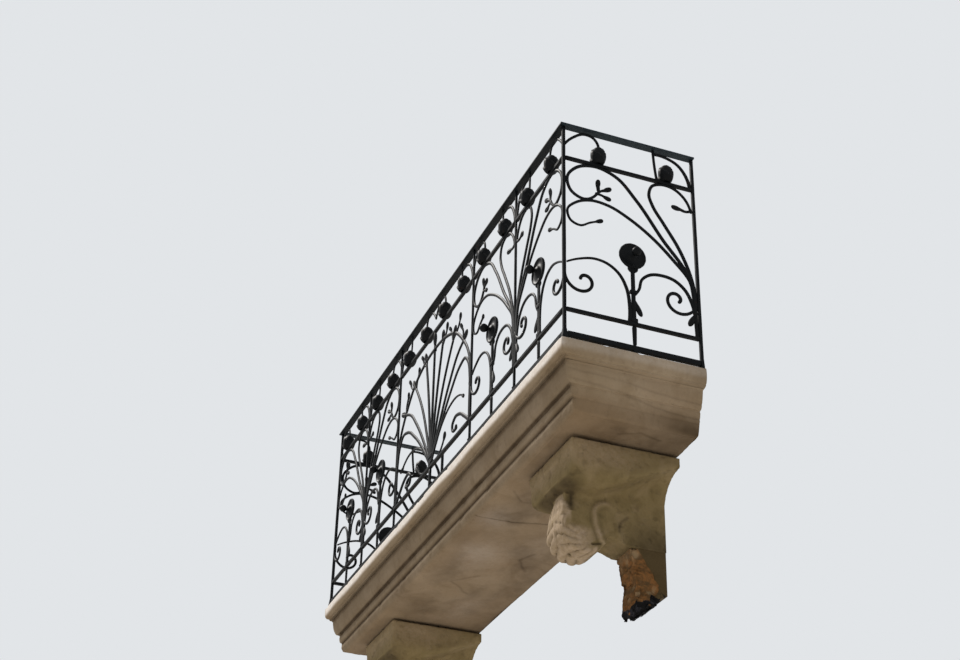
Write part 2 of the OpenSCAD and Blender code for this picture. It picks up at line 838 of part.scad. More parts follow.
module disc_side(side) {
    color([0.08, 0.10, 0.11])
        both_ways(side)
            translate([half_x, -rail_depth / 2, deck])
                rotate([0, 0, 90])
                    disc_stem();
}

// Buds and their arcs under the handrail

// Bulb that stands on the upper rail and narrows to a neck
module bud() {
    r = bud_radius;
    h = bud_height;
    translate([0, 0, upper_high + seat_gap])
        rotate_extrude()
            polygon(concat(
                [[0, 0]],
                [for (i = [0:6]) [r * (0.34 + 0.66 * sin(15 * i)), 0.46 * h * (1 - cos(15 * i))]],
                [for (i = [1:5]) [r * (0.16 + 0.84 * cos(18 * i)), h * (0.46 + 0.40 * sin(18 * i))]],
                [[0.16 * r, h], [0, h]]
            ));
}

module bud_arcs(w) {
    intersection() {
        union() {
            strand(in_band(w, [
                [0, 42.6], [6.5, 71.4], [15, 91], [22, 87.1], [25.6, 70], [26, 44]
            ]), slender, slender);
            strand(in_band(w, [[70, 101.5], [70.5, 62.2], [72.2, -0.7]]), slender, slender);
            strand(in_band(w, [[70, 85.8], [80, 85.8], [90, 70.1], [96, 40], [99, 0.7]]), slender, stout);
        }
        translate([seat_gap, upper_high + seat_gap])
            square([w - 2 * seat_gap, post_top - upper_high - 2 * seat_gap]);
    }
}

module buds_front() {
    half = bar_width / 2;
    corner = post_side / 2;
    color([0.08, 0.10, 0.11])
        for (side = [side_right, side_left])
            both_ways(side) {
                on_front(bar_depth) {
                    translate([half_x - corner, 0])
                        mirror([1, 0])
                            bud_arcs(bay - corner - half);
                    translate([bay + half, 0])
                        bud_arcs(bay - 2 * half);
                    bud_arcs(bay - half);
                }
                for (i = [0:5])
                    translate([(i + 0.5) * bay / 2, -rail_depth, deck])
                        bud();
            }
}

module buds_side(side) {
    corner = post_side / 2;
    color([0.08, 0.10, 0.11]) {
        on_side(side, bar_depth)
            translate([corner, 0])
                bud_arcs(rail_depth - corner - post_side);
        both_ways(side)
            for (u = [0.26, 0.78])
                translate([half_x, -rail_depth + u * rail_depth, deck])
                    bud();
    }
}

slab();
bed_mould();
plate(side_right);  // plate_right
plate(side_left);  // plate_left
console(side_right);  // console_right
console(side_left);  // console_left
volute(side_right);  // volute_right
volute(side_left);  // volute_left
tail_right();
tail_left();
corner_post(side_right);  // post_right
corner_post(side_left);  // post_left
wall_post(side_right);  // wall_post_right
wall_post(side_left);  // wall_post_left
bars(side_right);  // bars_right
bars(side_left);  // bars_left
handrail_front();
handrail_side(side_right);  // handrail_right
handrail_side(side_left);  // handrail_left
rail_front(upper_low);  // upper_rail_front
rail_side(side_right, upper_low);  // upper_rail_right
rail_side(side_left, upper_low);  // upper_rail_left
rail_front(lower_low);  // lower_rail_front
rail_side(side_right, lower_low);  // lower_rail_right
rail_side(side_left, lower_low);  // lower_rail_left
base_front();  // base_rail_front
base_side(side_right);  // base_rail_right
base_side(side_left);  // base_rail_left
fan();
front_scroll(side_right, true);  // scroll_outer_right
front_scroll(side_left, true);  // scroll_outer_left
front_scroll(side_right, false);  // scroll_inner_right
front_scroll(side_left, false);  // scroll_inner_left
side_scroll(side_right);  // scroll_side_right
side_scroll(side_left);  // scroll_side_left
discs_front();
disc_side(side_right);  // disc_side_right
disc_side(side_left);  // disc_side_left
buds_front();
buds_side(side_right);  // buds_side_right
buds_side(side_left);  // buds_side_left
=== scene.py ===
"""Wrought iron balcony: a moulded stone slab on scrolled corbels, with a whiplash railing."""

import math

import bmesh
import bpy
import numpy as np
from mathutils import Matrix, Vector, noise


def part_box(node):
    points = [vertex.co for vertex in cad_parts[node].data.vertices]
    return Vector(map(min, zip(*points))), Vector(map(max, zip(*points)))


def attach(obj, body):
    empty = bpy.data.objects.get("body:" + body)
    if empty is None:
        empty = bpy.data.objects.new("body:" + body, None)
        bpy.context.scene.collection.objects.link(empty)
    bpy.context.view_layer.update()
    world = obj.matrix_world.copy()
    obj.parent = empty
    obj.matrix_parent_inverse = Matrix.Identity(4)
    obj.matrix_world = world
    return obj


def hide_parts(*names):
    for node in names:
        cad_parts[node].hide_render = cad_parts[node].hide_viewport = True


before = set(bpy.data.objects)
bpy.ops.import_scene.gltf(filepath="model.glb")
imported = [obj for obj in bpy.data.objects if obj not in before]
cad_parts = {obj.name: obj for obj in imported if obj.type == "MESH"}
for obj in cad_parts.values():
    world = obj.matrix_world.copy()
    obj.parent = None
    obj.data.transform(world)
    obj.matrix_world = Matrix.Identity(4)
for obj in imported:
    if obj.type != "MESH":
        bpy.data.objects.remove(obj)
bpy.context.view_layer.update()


# Sizes taken from the frame, in metres


def middle(node):
    low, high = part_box(node)
    return (low + high) / 2


def extent(node):
    low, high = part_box(node)
    return high - low


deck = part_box("slab")[1].z
layer_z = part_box("slab")[0].z
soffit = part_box("bed_mould")[0].z
corner_x = middle("post_right").x
front_y = middle("post_right").y
rail_depth = -front_y
foot_side = extent("post_right").x
post_side = extent("wall_post_right").y
bay = corner_x / 3
bar_width = extent("bars_right").x - bay
bar_depth = extent("bars_right").y
rail_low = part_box("handrail_front")[0]
upper_low, upper_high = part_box("upper_rail_right")
lower_low, lower_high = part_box("lower_rail_right")
base_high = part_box("base_rail_right")[1].z
stud_height = 0.014
base_low = deck + stud_height
seat = 0.0003
rail_deep = extent("upper_rail_right").x
lower_level = middle("lower_rail_right").z - deck
rise = middle("upper_rail_right").z - deck - lower_level
post_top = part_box("post_right")[1].z
reach_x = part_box("slab")[1].x
reach_y = -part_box("slab")[0].y
bed_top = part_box("bed_mould")[1].z
corbel_x = middle("plate_right").x

# Sizes of the ironwork, in metres

stout = 0.017
slender = 0.012
tip = 0.008
leaf_width = 0.026
strand_depth = 0.0098
stem_width = 0.020
stud_length = 0.020
collar_depth = 0.0142
foot_height = 0.046
disc_radius = 0.060
disc_thick = 0.018
knob_radius = 0.019
knob_neck = 0.018
bud_radius = 0.0345
bud_height = 0.086
step_length = 0.008
chamfer = 0.0014
foot_chamfer = 0.0016
dent_depth = 0.0003

# Sizes of the stone mouldings, in metres

fascia_band = 0.038
fillet = 0.012
ovolo_inset = 0.022
hollow_height = 0.086
hollow_depth = 0.028
bead_height = 0.038
soffit_inset = 0.098
quirk_inset = 0.007
quirk_drop = 0.005
hollow_lip = 0.008
quirk_high = bed_top - hollow_height
quirk_low = quirk_high - bead_height - 0.008
console_width = 0.150
wall_margin = 0.0015

# Counts of sides, angles in degrees, and the disc's height in percent between the rails

ring_sides = 10
collar_sides = 16
drum_sides = 72
lobe_step = 27.0
drilled_angle = 69.0
disc_share = 43.8


# Meshes


class Shape:
    """Points and faces of one piece, gathered before they become a mesh."""

    def __init__(self):
        self.points = []
        self.faces = []
        self.count = 0

    def add(self, points, faces):
        start = self.count
        self.points.append(np.asarray(points, float))
        self.faces.extend([tuple(i + start for i in f) for f in faces])
        self.count += len(points)

    def rings(self, rings):
        """Closed rings joined one to the next, with a face on each end."""
        rows, sides = len(rings), len(rings[0])
        faces = []
        for r in range(rows - 1):
            for s in range(sides):
                a = r * sides + s
                b = r * sides + (s + 1) % sides
                faces.append((a, b, b + sides, a + sides))
        faces.append(tuple(range(sides - 1, -1, -1)))
        faces.append(tuple(range((rows - 1) * sides, rows * sides)))
        self.add(np.concatenate(rings), faces)


def make_object(name, points, faces):
    mesh = bpy.data.meshes.new(name)
    mesh.from_pydata([tuple(p) for p in points], [], faces)
    piece = bpy.data.objects.new(name, mesh)
    bpy.context.scene.collection.objects.link(piece)
    return piece


def face_out(piece, merge=0.0):
    """Turn all faces of a closed mesh outward, after joining points closer than a distance."""
    work = bmesh.new()
    work.from_mesh(piece.data)
    if merge:
        bmesh.ops.remove_doubles(work, verts=work.verts, dist=merge)
    bmesh.ops.recalc_face_normals(work, faces=work.faces)
    work.to_mesh(piece.data)
    work.free()
    piece.data.update()


def finish_piece(piece, nodes, material, sharp=40):
    """Outward faces, soft shading with crisp edges, and the piece's place in the part."""
    face_out(piece)
    piece.data.polygons.foreach_set("use_smooth", [True] * len(piece.data.polygons))
    piece.data.set_sharp_from_angle(angle=math.radians(sharp))
    piece.data.materials.append(material)
    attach(piece, "root")
    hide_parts(*nodes)


def iron_piece(name, shape, *nodes):
    piece = make_object(name, np.concatenate(shape.points), shape.faces)
    finish_piece(piece, nodes, iron)
    return piece


# Curves


def smooth_line(knots):
    """Points about a step apart on a smooth curve through the knots, and how far along each is."""
    k = np.array(knots, float)
    gaps = np.linalg.norm(np.diff(k, axis=0), axis=1)
    chords = np.diff(k, axis=0) / gaps[:, None]
    last = len(k) - 1
    slopes = np.zeros_like(k)
    for i in range(1, last):
        a, b = gaps[i - 1], gaps[i]
        slopes[i] = (chords[i - 1] * b + chords[i] * a) / (a + b)
    slopes[0] = chords[0] if last == 1 else 2 * chords[0] - slopes[1]
    slopes[last] = chords[-1] if last == 1 else 2 * chords[-1] - slopes[last - 1]
    points, along = [], []
    for i in range(last):
        steps = max(3, math.ceil(gaps[i] / step_length))
        for j in range(steps + (i == last - 1)):
            t = j / steps
            points.append(
                (2 * t**3 - 3 * t**2 + 1) * k[i]
                + (t**3 - 2 * t**2 + t) * gaps[i] * slopes[i]
                + (3 * t**2 - 2 * t**3) * k[i + 1]
                + (t**3 - t**2) * gaps[i] * slopes[i + 1]
            )
            along.append((i + t) / last)
    return np.array(points), np.array(along)


def spiral(centre, r0, r1, a0, a1):
    """Points of a spiral that closes in from radius r0 to r1, angles in degrees."""
    length = math.radians(abs(a1 - a0)) * (r0 + r1) / 2
    u = np.linspace(0, 1, max(24, math.ceil(length / step_length)))
    r = r0 * (r1 / r0) ** u
    a = np.radians(a0 + (a1 - a0) * u)
    return np.array(centre) + np.stack([r * np.cos(a), r * np.sin(a)], 1), u


class Panel:
    """A flat stretch of the railing: u along it, v up from the slab, w out towards the street."""

    def __init__(self, origin, along, out, width):
        self.origin = np.array(origin, float)
        self.axes = np.array([along, (0, 0, 1), out], float)
        self.width = width

    def place(self, uvw):
        return self.origin + np.asarray(uvw) @ self.axes

    def spread(self, knots, low, height):
        """Knots in percent of the width, and of a height above a low level."""
        return [(u / 100 * self.width, low + v / 100 * height) for u, v in knots]

    def bay(self, knots):
        """Knots in percent of the space between the lower and upper rail."""
        return self.spread(knots, lower_level, rise)

    def band(self, knots):
        """Knots in percent of the space between the upper rail and handrail."""
        low = upper_high.z - deck
        return self.spread(knots, low, post_top - deck - low)


def section(sides, fullness=0.72):
    """Points round a unit section that is flatter than a circle."""
    a = np.arange(sides) * 2 * math.pi / sides + math.pi / sides
    c, s = np.cos(a), np.sin(a)
    return np.sign(c) * np.abs(c) ** fullness, np.sign(s) * np.abs(s) ** fullness


dome = [(0.98, 0.22), (0.85, 0.53), (0.5, 0.87)]


def sweep(shape, panel, line, half, depth):
    """A forged strand along a line, with domed ends. half is its half width at each point."""
    tangent = np.gradient(line, axis=0)
    tangent /= np.linalg.norm(tangent, axis=1)[:, None]
    normal = np.stack([-tangent[:, 1], tangent[:, 0]], 1)
    across, out = section(ring_sides)
    stations = [(line[0] - tangent[0] * half[0] * d, normal[0], half[0] * s, s) for d, s in dome]
    stations += [(p, n, h, 1.0) for p, n, h in zip(line, normal, half)]
    stations += [
        (line[-1] + tangent[-1] * half[-1] * d, normal[-1], half[-1] * s, s) for d, s in dome[::-1]
    ]
    rings = []
    for p, n, h, s in stations:
        flat = p + np.outer(across * h, n)
        rings.append(panel.place(np.column_stack([flat, out * depth / 2 * s])))
    shape.rings(rings)


def strand(shape, panel, knots, w0, w1, depth=strand_depth):
    """A strand through the knots, whose width goes evenly from w0 to w1."""
    line, along = smooth_line(knots)
    sweep(shape, panel, line, (w0 + (w1 - w0) * along) / 2, depth)


def coil(shape, panel, centre, r0, r1, a0, a1, w0, w1):
    """A strand along a spiral, whose width goes evenly from w0 to w1."""
    line, along = spiral(centre, r0, r1, a0, a1)
    sweep(shape, panel, line, (w0 + (w1 - w0) * along) / 2, strand_depth)


leaf_section = [
    (-1, 0.0), (-0.72, 0.60), (-0.18, 0.62), (0, 0.86), (0.18, 0.62),
    (0.72, 0.60), (1, 0.0), (0.6, -0.6), (-0.6, -0.6),
]


def leaf(shape, panel, ends, width, thick=0.0080, lift=0.004):
    """A forged bud leaf between two points: a club that swells to a blunt, turned out tip."""
    a, b = np.array(ends[0]), np.array(ends[1])
    along = b - a
    length = np.linalg.norm(along)
    along /= length
    across = np.array([-along[1], along[0]])
    rings = []
    for t in (0, 0.1, 0.22, 0.36, 0.5, 0.64, 0.76, 0.86, 0.93, 0.98, 1.0):
        swell = 0.38 + 0.62 * math.sin(math.pi / 2 * min(1, t / 0.66)) ** 2
        close = math.sqrt(max(0.03, 1 - max(0, (t - 0.70) / 0.305) ** 2))
        half = width / 2 * swell * close
        centre = a + along * length * (-0.04 + 1.06 * t)
        w = lift * (t**2 - 0.25)
        deep = thick * swell * close
        rings.append(
            panel.place([[*(centre + across * half * x), w + deep * y] for x, y in leaf_section])
        )
    shape.rings(rings)


def lathe(shape, origin, axis, profile, sides=24, ripple=None):
    """A turned form. profile lists radii and heights on the axis, ripple swells it by angle."""
    axis = Vector(axis).normalized()
    turn = axis.to_track_quat("Z", "X").to_matrix()
    rings = []
    for r, h in profile:
        ring = []
        for s in range(sides):
            a = 2 * math.pi * s / sides
            swell = 1 + (ripple(a, h) if ripple else 0)
            p = turn @ Vector((r * swell * math.cos(a), r * swell * math.sin(a), h))
            ring.append(Vector(origin) + p)
        rings.append(np.array(ring))
    shape.rings(rings)


def eased_box(x, y, cut):
    """Corners of a rectangle with the half sides x and y, each corner cut off at a slant."""
    return [
        (x - cut, -y), (x, -y + cut), (x, y - cut), (x - cut, y),
        (-x + cut, y), (-x, y - cut), (-x, -y + cut), (-x + cut, -y),
    ]


def bar(shape, low, high, ease=chamfer):
    """A forged bar between two corners, with eased edges and a slight unevenness."""
    low, high = np.array(low), np.array(high)
    size = high - low
    axis = int(np.argmax(size))
    a, b = [i for i in range(3) if i != axis]
    cut = min(ease, size[a] / 4, size[b] / 4)
    x, y = size[a] / 2, size[b] / 2
    centre = (low + high) / 2
    steps = max(2, math.ceil(size[axis] / 0.03))
    places = [0.0, *np.linspace(cut, size[axis] - cut, steps + 1), size[axis]]
    rings = []
    for i, place in enumerate(places):
        end = i in (0, len(places) - 1)
        ring = np.zeros((8, 3))
        for j, (p, q) in enumerate(eased_box(x, y, cut)):
            ring[j, axis] = low[axis] + place
            ring[j, a] = centre[a] + p * (1 - cut / x if end else 1)
            ring[j, b] = centre[b] + q * (1 - cut / y if end else 1)
            if not end:
                dent = dent_depth * (1 + noise.noise(Vector(ring[j]) * 18))
                ring[j, a] -= math.copysign(dent, p)
                ring[j, b] -= math.copysign(dent, q)
        rings.append(ring)
    shape.rings(rings)


def block(shape, x, y, z, dx, dy, dz, ease=chamfer):
    """A bar given by the middle of its foot and its three sizes."""
    bar(shape, (x - dx / 2, y - dy / 2, z), (x + dx / 2, y + dy / 2, z + dz), ease)


# Materials


class Finish:
    """A material and short ways to add and join its nodes."""

    def __init__(self, name):
        self.material = bpy.data.materials.new(name)
        self.material.use_nodes = True
        self.nodes = self.material.node_tree.nodes
        self.links = self.material.node_tree.links
        self.shader = self.nodes["Principled BSDF"]
        self.coordinates = self.add("ShaderNodeTexCoord").outputs["Object"]

    def feed(self, socket, value):
        """Join an output to a socket, or set a number, a vector or a screen colour on it."""
        if hasattr(value, "is_output"):
            self.links.new(value, socket)
        elif socket.type == "RGBA":
            socket.default_value = (*linear(*value), 1.0)
        else:
            socket.default_value = value

    def shade(self, name, value):
        self.feed(self.shader.inputs[name], value)

    def add(self, kind, **values):
        node = self.nodes.new(kind)
        for key, value in values.items():
            name = key.replace("_", " ")
            if name in node.inputs:
                self.feed(node.inputs[name], value)
            else:
                setattr(node, key, value)
        return node

    def stretched(self, scale):
        """The object coordinates, scaled by an amount for each axis."""
        return self.add("ShaderNodeMapping", Vector=self.coordinates, Scale=scale).outputs["Vector"]

    def noise(self, scale, detail, roughness=0.55, vector=None, distortion=0.0):
        node = self.add(
            "ShaderNodeTexNoise", Vector=vector or self.coordinates, Scale=scale,
            Detail=detail, Roughness=roughness, Distortion=distortion,
        )
        return node.outputs["Fac"]

    def cells(self, scale):
        node = self.add("ShaderNodeTexVoronoi", Vector=self.coordinates, Scale=scale)
        return node.outputs["Distance"]

    def ramp(self, value, low, high):
        """0 below low and 1 above high, with a smooth change between them."""
        node = self.add("ShaderNodeMapRange", Value=value, From_Min=low, From_Max=high)
        node.interpolation_type = "SMOOTHSTEP"
        return node.outputs["Result"]

    def math(self, operation, *values):
        node = self.add("ShaderNodeMath", operation=operation)
        for socket, value in zip(node.inputs, values):
            self.feed(socket, value)
        return node.outputs["Value"]

    def times(self, a, b):
        return self.math("MULTIPLY", a, b)

    def plus(self, a, b):
        return self.math("ADD", a, b)

    def mix(self, share, a, b):
        """A blend of two colours: a at a share of 0 and b at 1."""
        node = self.add("ShaderNodeMix", data_type="RGBA")
        for place, value in ((0, share), (6, a), (7, b)):
            self.feed(node.inputs[place], value)
        return node.outputs[2]

    def attribute(self, name):
        return self.add("ShaderNodeAttribute", attribute_name=name).outputs["Fac"]

    def facing_up(self):
        """The z part of the surface's direction: 1 on tops and -1 on undersides."""
        geometry = self.add("ShaderNodeNewGeometry")
        return self.add("ShaderNodeSeparateXYZ", Vector=geometry.outputs["Normal"]).outputs["Z"]

    def bump(self, height, distance, strength, under=None):
        node = self.add("ShaderNodeBump", Height=height, Distance=distance, Strength=strength)
        if under:
            self.feed(node.inputs["Normal"], under)
        return node.outputs["Normal"]


def linear(red, green, blue):
    """A screen colour from 0 to 255 as the light values that shaders take."""
    values = [c / 255 for c in (red, green, blue)]
    return tuple(c / 12.92 if c <= 0.04045 else ((c + 0.055) / 1.055) ** 2.4 for c in values)


def iron_finish():
    """Old black paint with specks of rust, and a painted blue-green grey reflection of the sky on
    the side handrails.
    """
    f = Finish("wrought_iron")
    broad = f.noise(7.0, 3.0)
    fine = f.noise(90.0, 6.0, 0.65)
    paint = f.mix(f.ramp(broad, 0.35, 0.65), (6, 8, 10), (11, 14, 17))
    paint = f.mix(f.times(f.ramp(fine, 0.45, 0.7), 0.30), paint, (25, 30, 34))
    # Painted reflection: the blue-green grey sky sheen of the handrails, mixed in by a value on
    # their points.
    sky_sheen = f.mix(f.ramp(fine, 0.35, 0.65), (30, 40, 46), (48, 60, 66))
    paint = f.mix(f.attribute("sky_sheen"), paint, sky_sheen)
    dust = f.times(f.ramp(f.facing_up(), 0.35, 0.95), f.ramp(fine, 0.3, 0.7))
    coat = f.mix(f.times(dust, 0.40), paint, (70, 74, 75))
    spots = f.times(f.ramp(f.noise(46.0, 5.0, 0.7), 0.60, 0.70), f.ramp(broad, 0.42, 0.6))
    coat = f.mix(f.times(spots, 0.7), coat, (60, 36, 23))
    f.shade("Base Color", coat)
    rough = f.plus(0.42, f.times(fine, 0.2))
    f.shade("Roughness", f.plus(rough, f.times(spots, 0.3)))
    hammer = f.bump(f.cells(70.0), 0.0007, 0.5)
    f.shade("Normal", f.bump(fine, 0.0006, 0.6, hammer))
    f.shade("Specular IOR Level", 0.14)
    return f.material


def stone_grain(f, bump=1.0):
    """Grain, pits and tool marks of the stone."""
    grain = f.bump(f.noise(340.0, 4.0, 0.7), 0.0008, 0.5 * bump)
    pits = f.ramp(f.cells(120.0), 0.05, 0.22)
    pitted = f.bump(pits, 0.0008, 0.3 * bump, grain)
    return f.bump(f.noise(38.0, 5.0, 0.6), 0.0026, 0.6 * bump, pitted)


def stone_body(f, hues, mottle, scale=1.0):
    """Two close hues in broad patches, with clouds, fine specks and soft veins over them."""
    broad = f.noise(2.2 * scale, 4.0, 0.55)
    cloud = f.noise(7.5 * scale, 6.0, 0.6, distortion=0.6)
    fine = f.noise(60.0, 6.0, 0.7)
    body = f.mix(f.ramp(broad, 0.35, 0.65), *hues)
    body = f.mix(f.times(f.ramp(cloud, 0.42, 0.70), 0.55), body, mottle)
    speck = f.mix(0.5, mottle, (88, 72, 52))
    return f.mix(f.times(f.ramp(fine, 0.5, 0.75), 0.30), body, speck), cloud, fine


def stone_soiling_and_shade(f, body, cloud, colour):
    """Darkening in uneven clouds where the shape shelters it: soiling, and painted shade in
    hollows, creases and on undersides.
    """
    uneven = f.plus(0.60, f.times(cloud, 0.6))
    return f.mix(f.times(f.attribute("soiling_and_shade"), uneven), body, colour)


def stone_gloss(f, fine, level=0.2):
    f.shade("Roughness", f.plus(0.82, f.times(fine, 0.14)))
    f.shade("Specular IOR Level", level)


def slab_finish():
    """Warm brown stone streaked by rain, browner where worn, pinkish white on paler patches and
    under painted sunlight, darker where soiled and under painted shade.
    """
    f = Finish("stone_slab")
    body, cloud, fine = stone_body(f, ((148, 129, 104), (160, 141, 117)), (134, 114, 88))
    # Browner where worn, and painted shade: through this value the underside and the lower ends of
    # the moulded course turn browner.
    body = f.mix(f.times(f.attribute("wear_and_shade"), 0.45), body, (138, 111, 80))
    streaks = f.noise(1.0, 5.0, 0.65, f.stretched((26.0, 26.0, 1.6)))
    steep = f.math("SUBTRACT", 1.0, f.math("ABSOLUTE", f.facing_up()))
    rain = f.times(f.ramp(streaks, 0.50, 0.74), f.ramp(steep, 0.25, 0.7))
    body = f.mix(f.times(rain, 0.26), body, (104, 87, 66))
    # Painted sunlight: through this value the front fascia turns pinkish white; on the underside it
    # gives paler patches of the stone.
    pale_and_lit = f.mix(f.ramp(fine, 0.35, 0.7), (243, 237, 231), (226, 214, 203))
    body = f.mix(f.times(f.attribute("pale_and_lit"), 0.85), body, pale_and_lit)
    f.shade("Base Color", stone_soiling_and_shade(f, body, cloud, (66, 51, 34)))
    f.shade("Normal", stone_grain(f))
    stone_gloss(f, fine)
    return f.material


def carved_body(f):
    return stone_body(f, ((118, 102, 67), (131, 113, 78)), (104, 88, 55), 2.6)


def carved_finish():
    """Stone of the corbels, olive brown on its flanks, pinkish white from painted sunlight on its
    carved leaves, scroll and plate front, with a painted highlight on the cheek rims.
    """
    f = Finish("carved_stone")
    body, cloud, fine = carved_body(f)
    # Painted light: pinkish white where light falls on the carved forms.
    pale_and_lit = f.mix(f.ramp(fine, 0.35, 0.7), (178, 156, 133), (158, 136, 108))
    body = f.mix(f.times(f.attribute("pale_and_lit"), 0.85), body, pale_and_lit)
    f.shade("Base Color", stone_soiling_and_shade(f, body, cloud, (60, 48, 30)))
    f.shade("Normal", stone_grain(f, 0.8))
    stone_gloss(f, fine)
    return f.material


def broken_finish():
    """Brown skin and bared orange-brown core of the broken tail, black at the break, with a painted
    highlight on the shoulder of the break.
    """
    f = Finish("broken_stone")
    skin, _, fine = carved_body(f)
    skin = f.mix(0.78, skin, (64, 50, 31))
    broad = f.noise(16.0, 5.0, 0.6, distortion=1.2)
    bands = f.noise(1.0, 5.0, 0.65, f.stretched((14.0, 14.0, 42.0)))
    core = f.mix(f.ramp(broad, 0.36, 0.62), (102, 74, 44), (132, 90, 50))
    core = f.mix(f.times(f.ramp(bands, 0.46, 0.60), 0.75), core, (78, 62, 40))
    core = f.mix(f.times(f.ramp(fine, 0.48, 0.72), 0.5), core, (52, 37, 23))
    body = f.mix(f.ramp(f.attribute("core"), 0.35, 0.65), skin, core)
    # Paler crumbs on the core, and a painted highlight on the shoulder of the break.
    body = f.mix(f.times(f.attribute("pale_and_lit"), 0.7), body, (158, 134, 102))
    # Blackened towards the bottom of the break.
    blackening = f.mix(f.ramp(broad, 0.50, 0.60), (20, 19, 19), (50, 49, 54))
    body = f.mix(f.ramp(f.attribute("soiling_and_shade"), 0.3, 0.8), body, blackening)
    f.shade("Base Color", body)
    f.shade("Normal", stone_grain(f, 1.6))
    stone_gloss(f, fine, 0.15)
    return f.material


iron = iron_finish()
slab_stone = slab_finish()
carved_stone = carved_finish()
broken_stone = broken_finish()


# Railing: uprights and rails


def post_foot(shape, x, y, dx, dy):
    """Forged foot that spreads from the post to the slab in an easy curve."""
    z = deck + seat
    steps = [(0, 0.94), (0.05, 1), (0.26, 1), (0.34, 0.86), (0.5, 0.62), (0.75, 0.34), (1, 0.1)]
    rings = []
    for share, spread in steps:
        w = post_side + (dx - post_side) * spread
        d = post_side + (dy - post_side) * spread
        outline = eased_box(w / 2, d / 2, foot_chamfer)
        rings.append(np.array([(x + p, y + q, z + share * foot_height) for p, q in outline]))
    shape.rings(rings)


def post(name, side, y, foot_deep, node):
    """An upright post on its foot, at a corner or by the wall."""
    shape = Shape()
    x = side * corner_x
    low = deck + seat
    block(shape, x, y, low, post_side, post_side, post_top - low)
    post_foot(shape, x, y, foot_side, foot_deep)
    iron_piece(name, shape, node)


def bars(name, side, node):
    """Upright bars of one front half, with a knot over the lower rail and a small foot."""
    shape = Shape()
    low = base_high + seat
    small_foot = (bar_width + 0.010, bar_depth + 0.006, 0.012)
    knot = (bar_width + 0.014, bar_depth + 0.005, 0.016)
    for k in (1, 2):
        x = side * k * bay
        block(shape, x, front_y, low, bar_width, bar_depth, post_top - low)
        block(shape, x, front_y, low, *small_foot, ease=0.003)
        block(shape, x, front_y, lower_high.z + seat, *knot, ease=0.004)
    iron_piece(name, shape, node)


def rail_section():
    """Handrail section: flat below, with a low dome on top, as offset outward and height."""
    w = extent("handrail_front").y / 2
    h = extent("handrail_front").z
    c = 0.0012
    arc = [
        (w * math.cos(a), 0.58 * h + 0.42 * h * math.sin(a)) for a in np.linspace(0, math.pi, 13)
    ]
    return [(w - c, 0), (w, c), *arc, (-w, c), (-w + c, 0)]


def handrail(name, route, node, sky_sheen):
    """A length of handrail. route(offset) gives its two ends for a line at that outward offset.

    The last argument is how strong the painted blue-green grey reflection of the sky on the rail
    is, from 0 to 1."""
    shape = Shape()
    steps = 48
    flat_height = 0.004
    rings = []
    outline = rail_section()
    for i in range(steps + 1):
        ring = []
        for offset, height in outline:
            start, end = route(offset)
            p = start + (end - start) * i / steps
            worn = noise.noise(Vector((p[0], p[1], height * 20)) * 9) * 0.0004 - 0.0003
            ring.append((p[0], p[1], rail_low.z + height + (worn if height > flat_height else 0)))
        rings.append(np.array(ring))
    shape.rings(rings)
    piece = iron_piece(name, shape, node)
    write_values(piece, "sky_sheen", np.full(len(piece.data.vertices), sky_sheen))


def front_route(offset):
    y = front_y - offset
    x = corner_x + offset
    return np.array((-x, y)), np.array((x, y))


def side_route(side):
    def route(offset):
        x = side * (corner_x + offset)
        return np.array((x, front_y - offset)), np.array((x, 0.0))

    return route


def front_rail(name, low, high, node):
    """A rail of the front in lengths between the uprights."""
    shape = Shape()
    stops = [-3, -2, -1, 1, 2, 3]
    half = {stop: (post_side if abs(stop) == 3 else bar_width) / 2 for stop in stops}
    for a, b in zip(stops, stops[1:]):
        x0 = a * bay + half[a] + seat
        x1 = b * bay - half[b] - seat
        bar(shape, (x0, front_y - rail_deep / 2, low), (x1, front_y + rail_deep / 2, high))
    iron_piece(name, shape, node)


def plain_bar(name, node):
    """A single bar in the box of its node."""
    shape = Shape()
    bar(shape, *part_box(node))
    iron_piece(name, shape, node)


def base_rail(name, node, studs):
    """A low rail in the box of its node, raised on short studs at the places given."""
    shape = Shape()
    low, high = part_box(node)
    bar(shape, (low.x, low.y, base_low), high)
    for x, y in studs:
        wide, deep = (stud_length, rail_deep) if y == front_y else (rail_deep, stud_length)
        height = base_low - deck + 0.010
        block(shape, x, y, deck + seat, wide - 2 * seat, deep - 2 * seat, height, ease=0.001)
    iron_piece(name, shape, node)


# Railing: scrollwork


def whiplash(shape, p):
    """Strands that gather at the far upright and loop back over the bay."""
    strand(shape, p, p.bay([
        (99.2, 23.3), (93, 41.1), (75, 60.3), (55, 82.9), (40, 95.2), (23.5, 98.9),
        (9, 95.2), (1.6, 87), (4.7, 78), (14, 74.7), (25, 80.8),
    ]), stout, slender)
    strand(shape, p, p.bay([
        (99.2, 19.2), (95, 37), (83, 47.9), (67, 59.6), (50, 68.5), (33, 74.2), (20, 74.8),
        (8.5, 71.2), (1.6, 65), (4, 58.2), (11, 56.2), (19, 59.6), (27, 62.3),
    ]), stout, tip, depth=0.0086)
    leaf(shape, p, p.bay([(22, 60.8), (28.5, 62.7)]), 0.8 * leaf_width)
    strand(shape, p, p.bay([
        (99, 26), (95.5, 41.1), (88, 56.2), (76.5, 71.2), (68, 82.2), (65.5, 89),
        (68.5, 95.9), (76.5, 98.6), (87, 97.3), (95, 91.8), (98.8, 84.2),
    ]), stout, slender, depth=0.0089)
    strand(shape, p, p.bay([(98.8, 0), (98.2, 13.7), (97.5, 27.4), (95.5, 38.4)]), stout, stout)


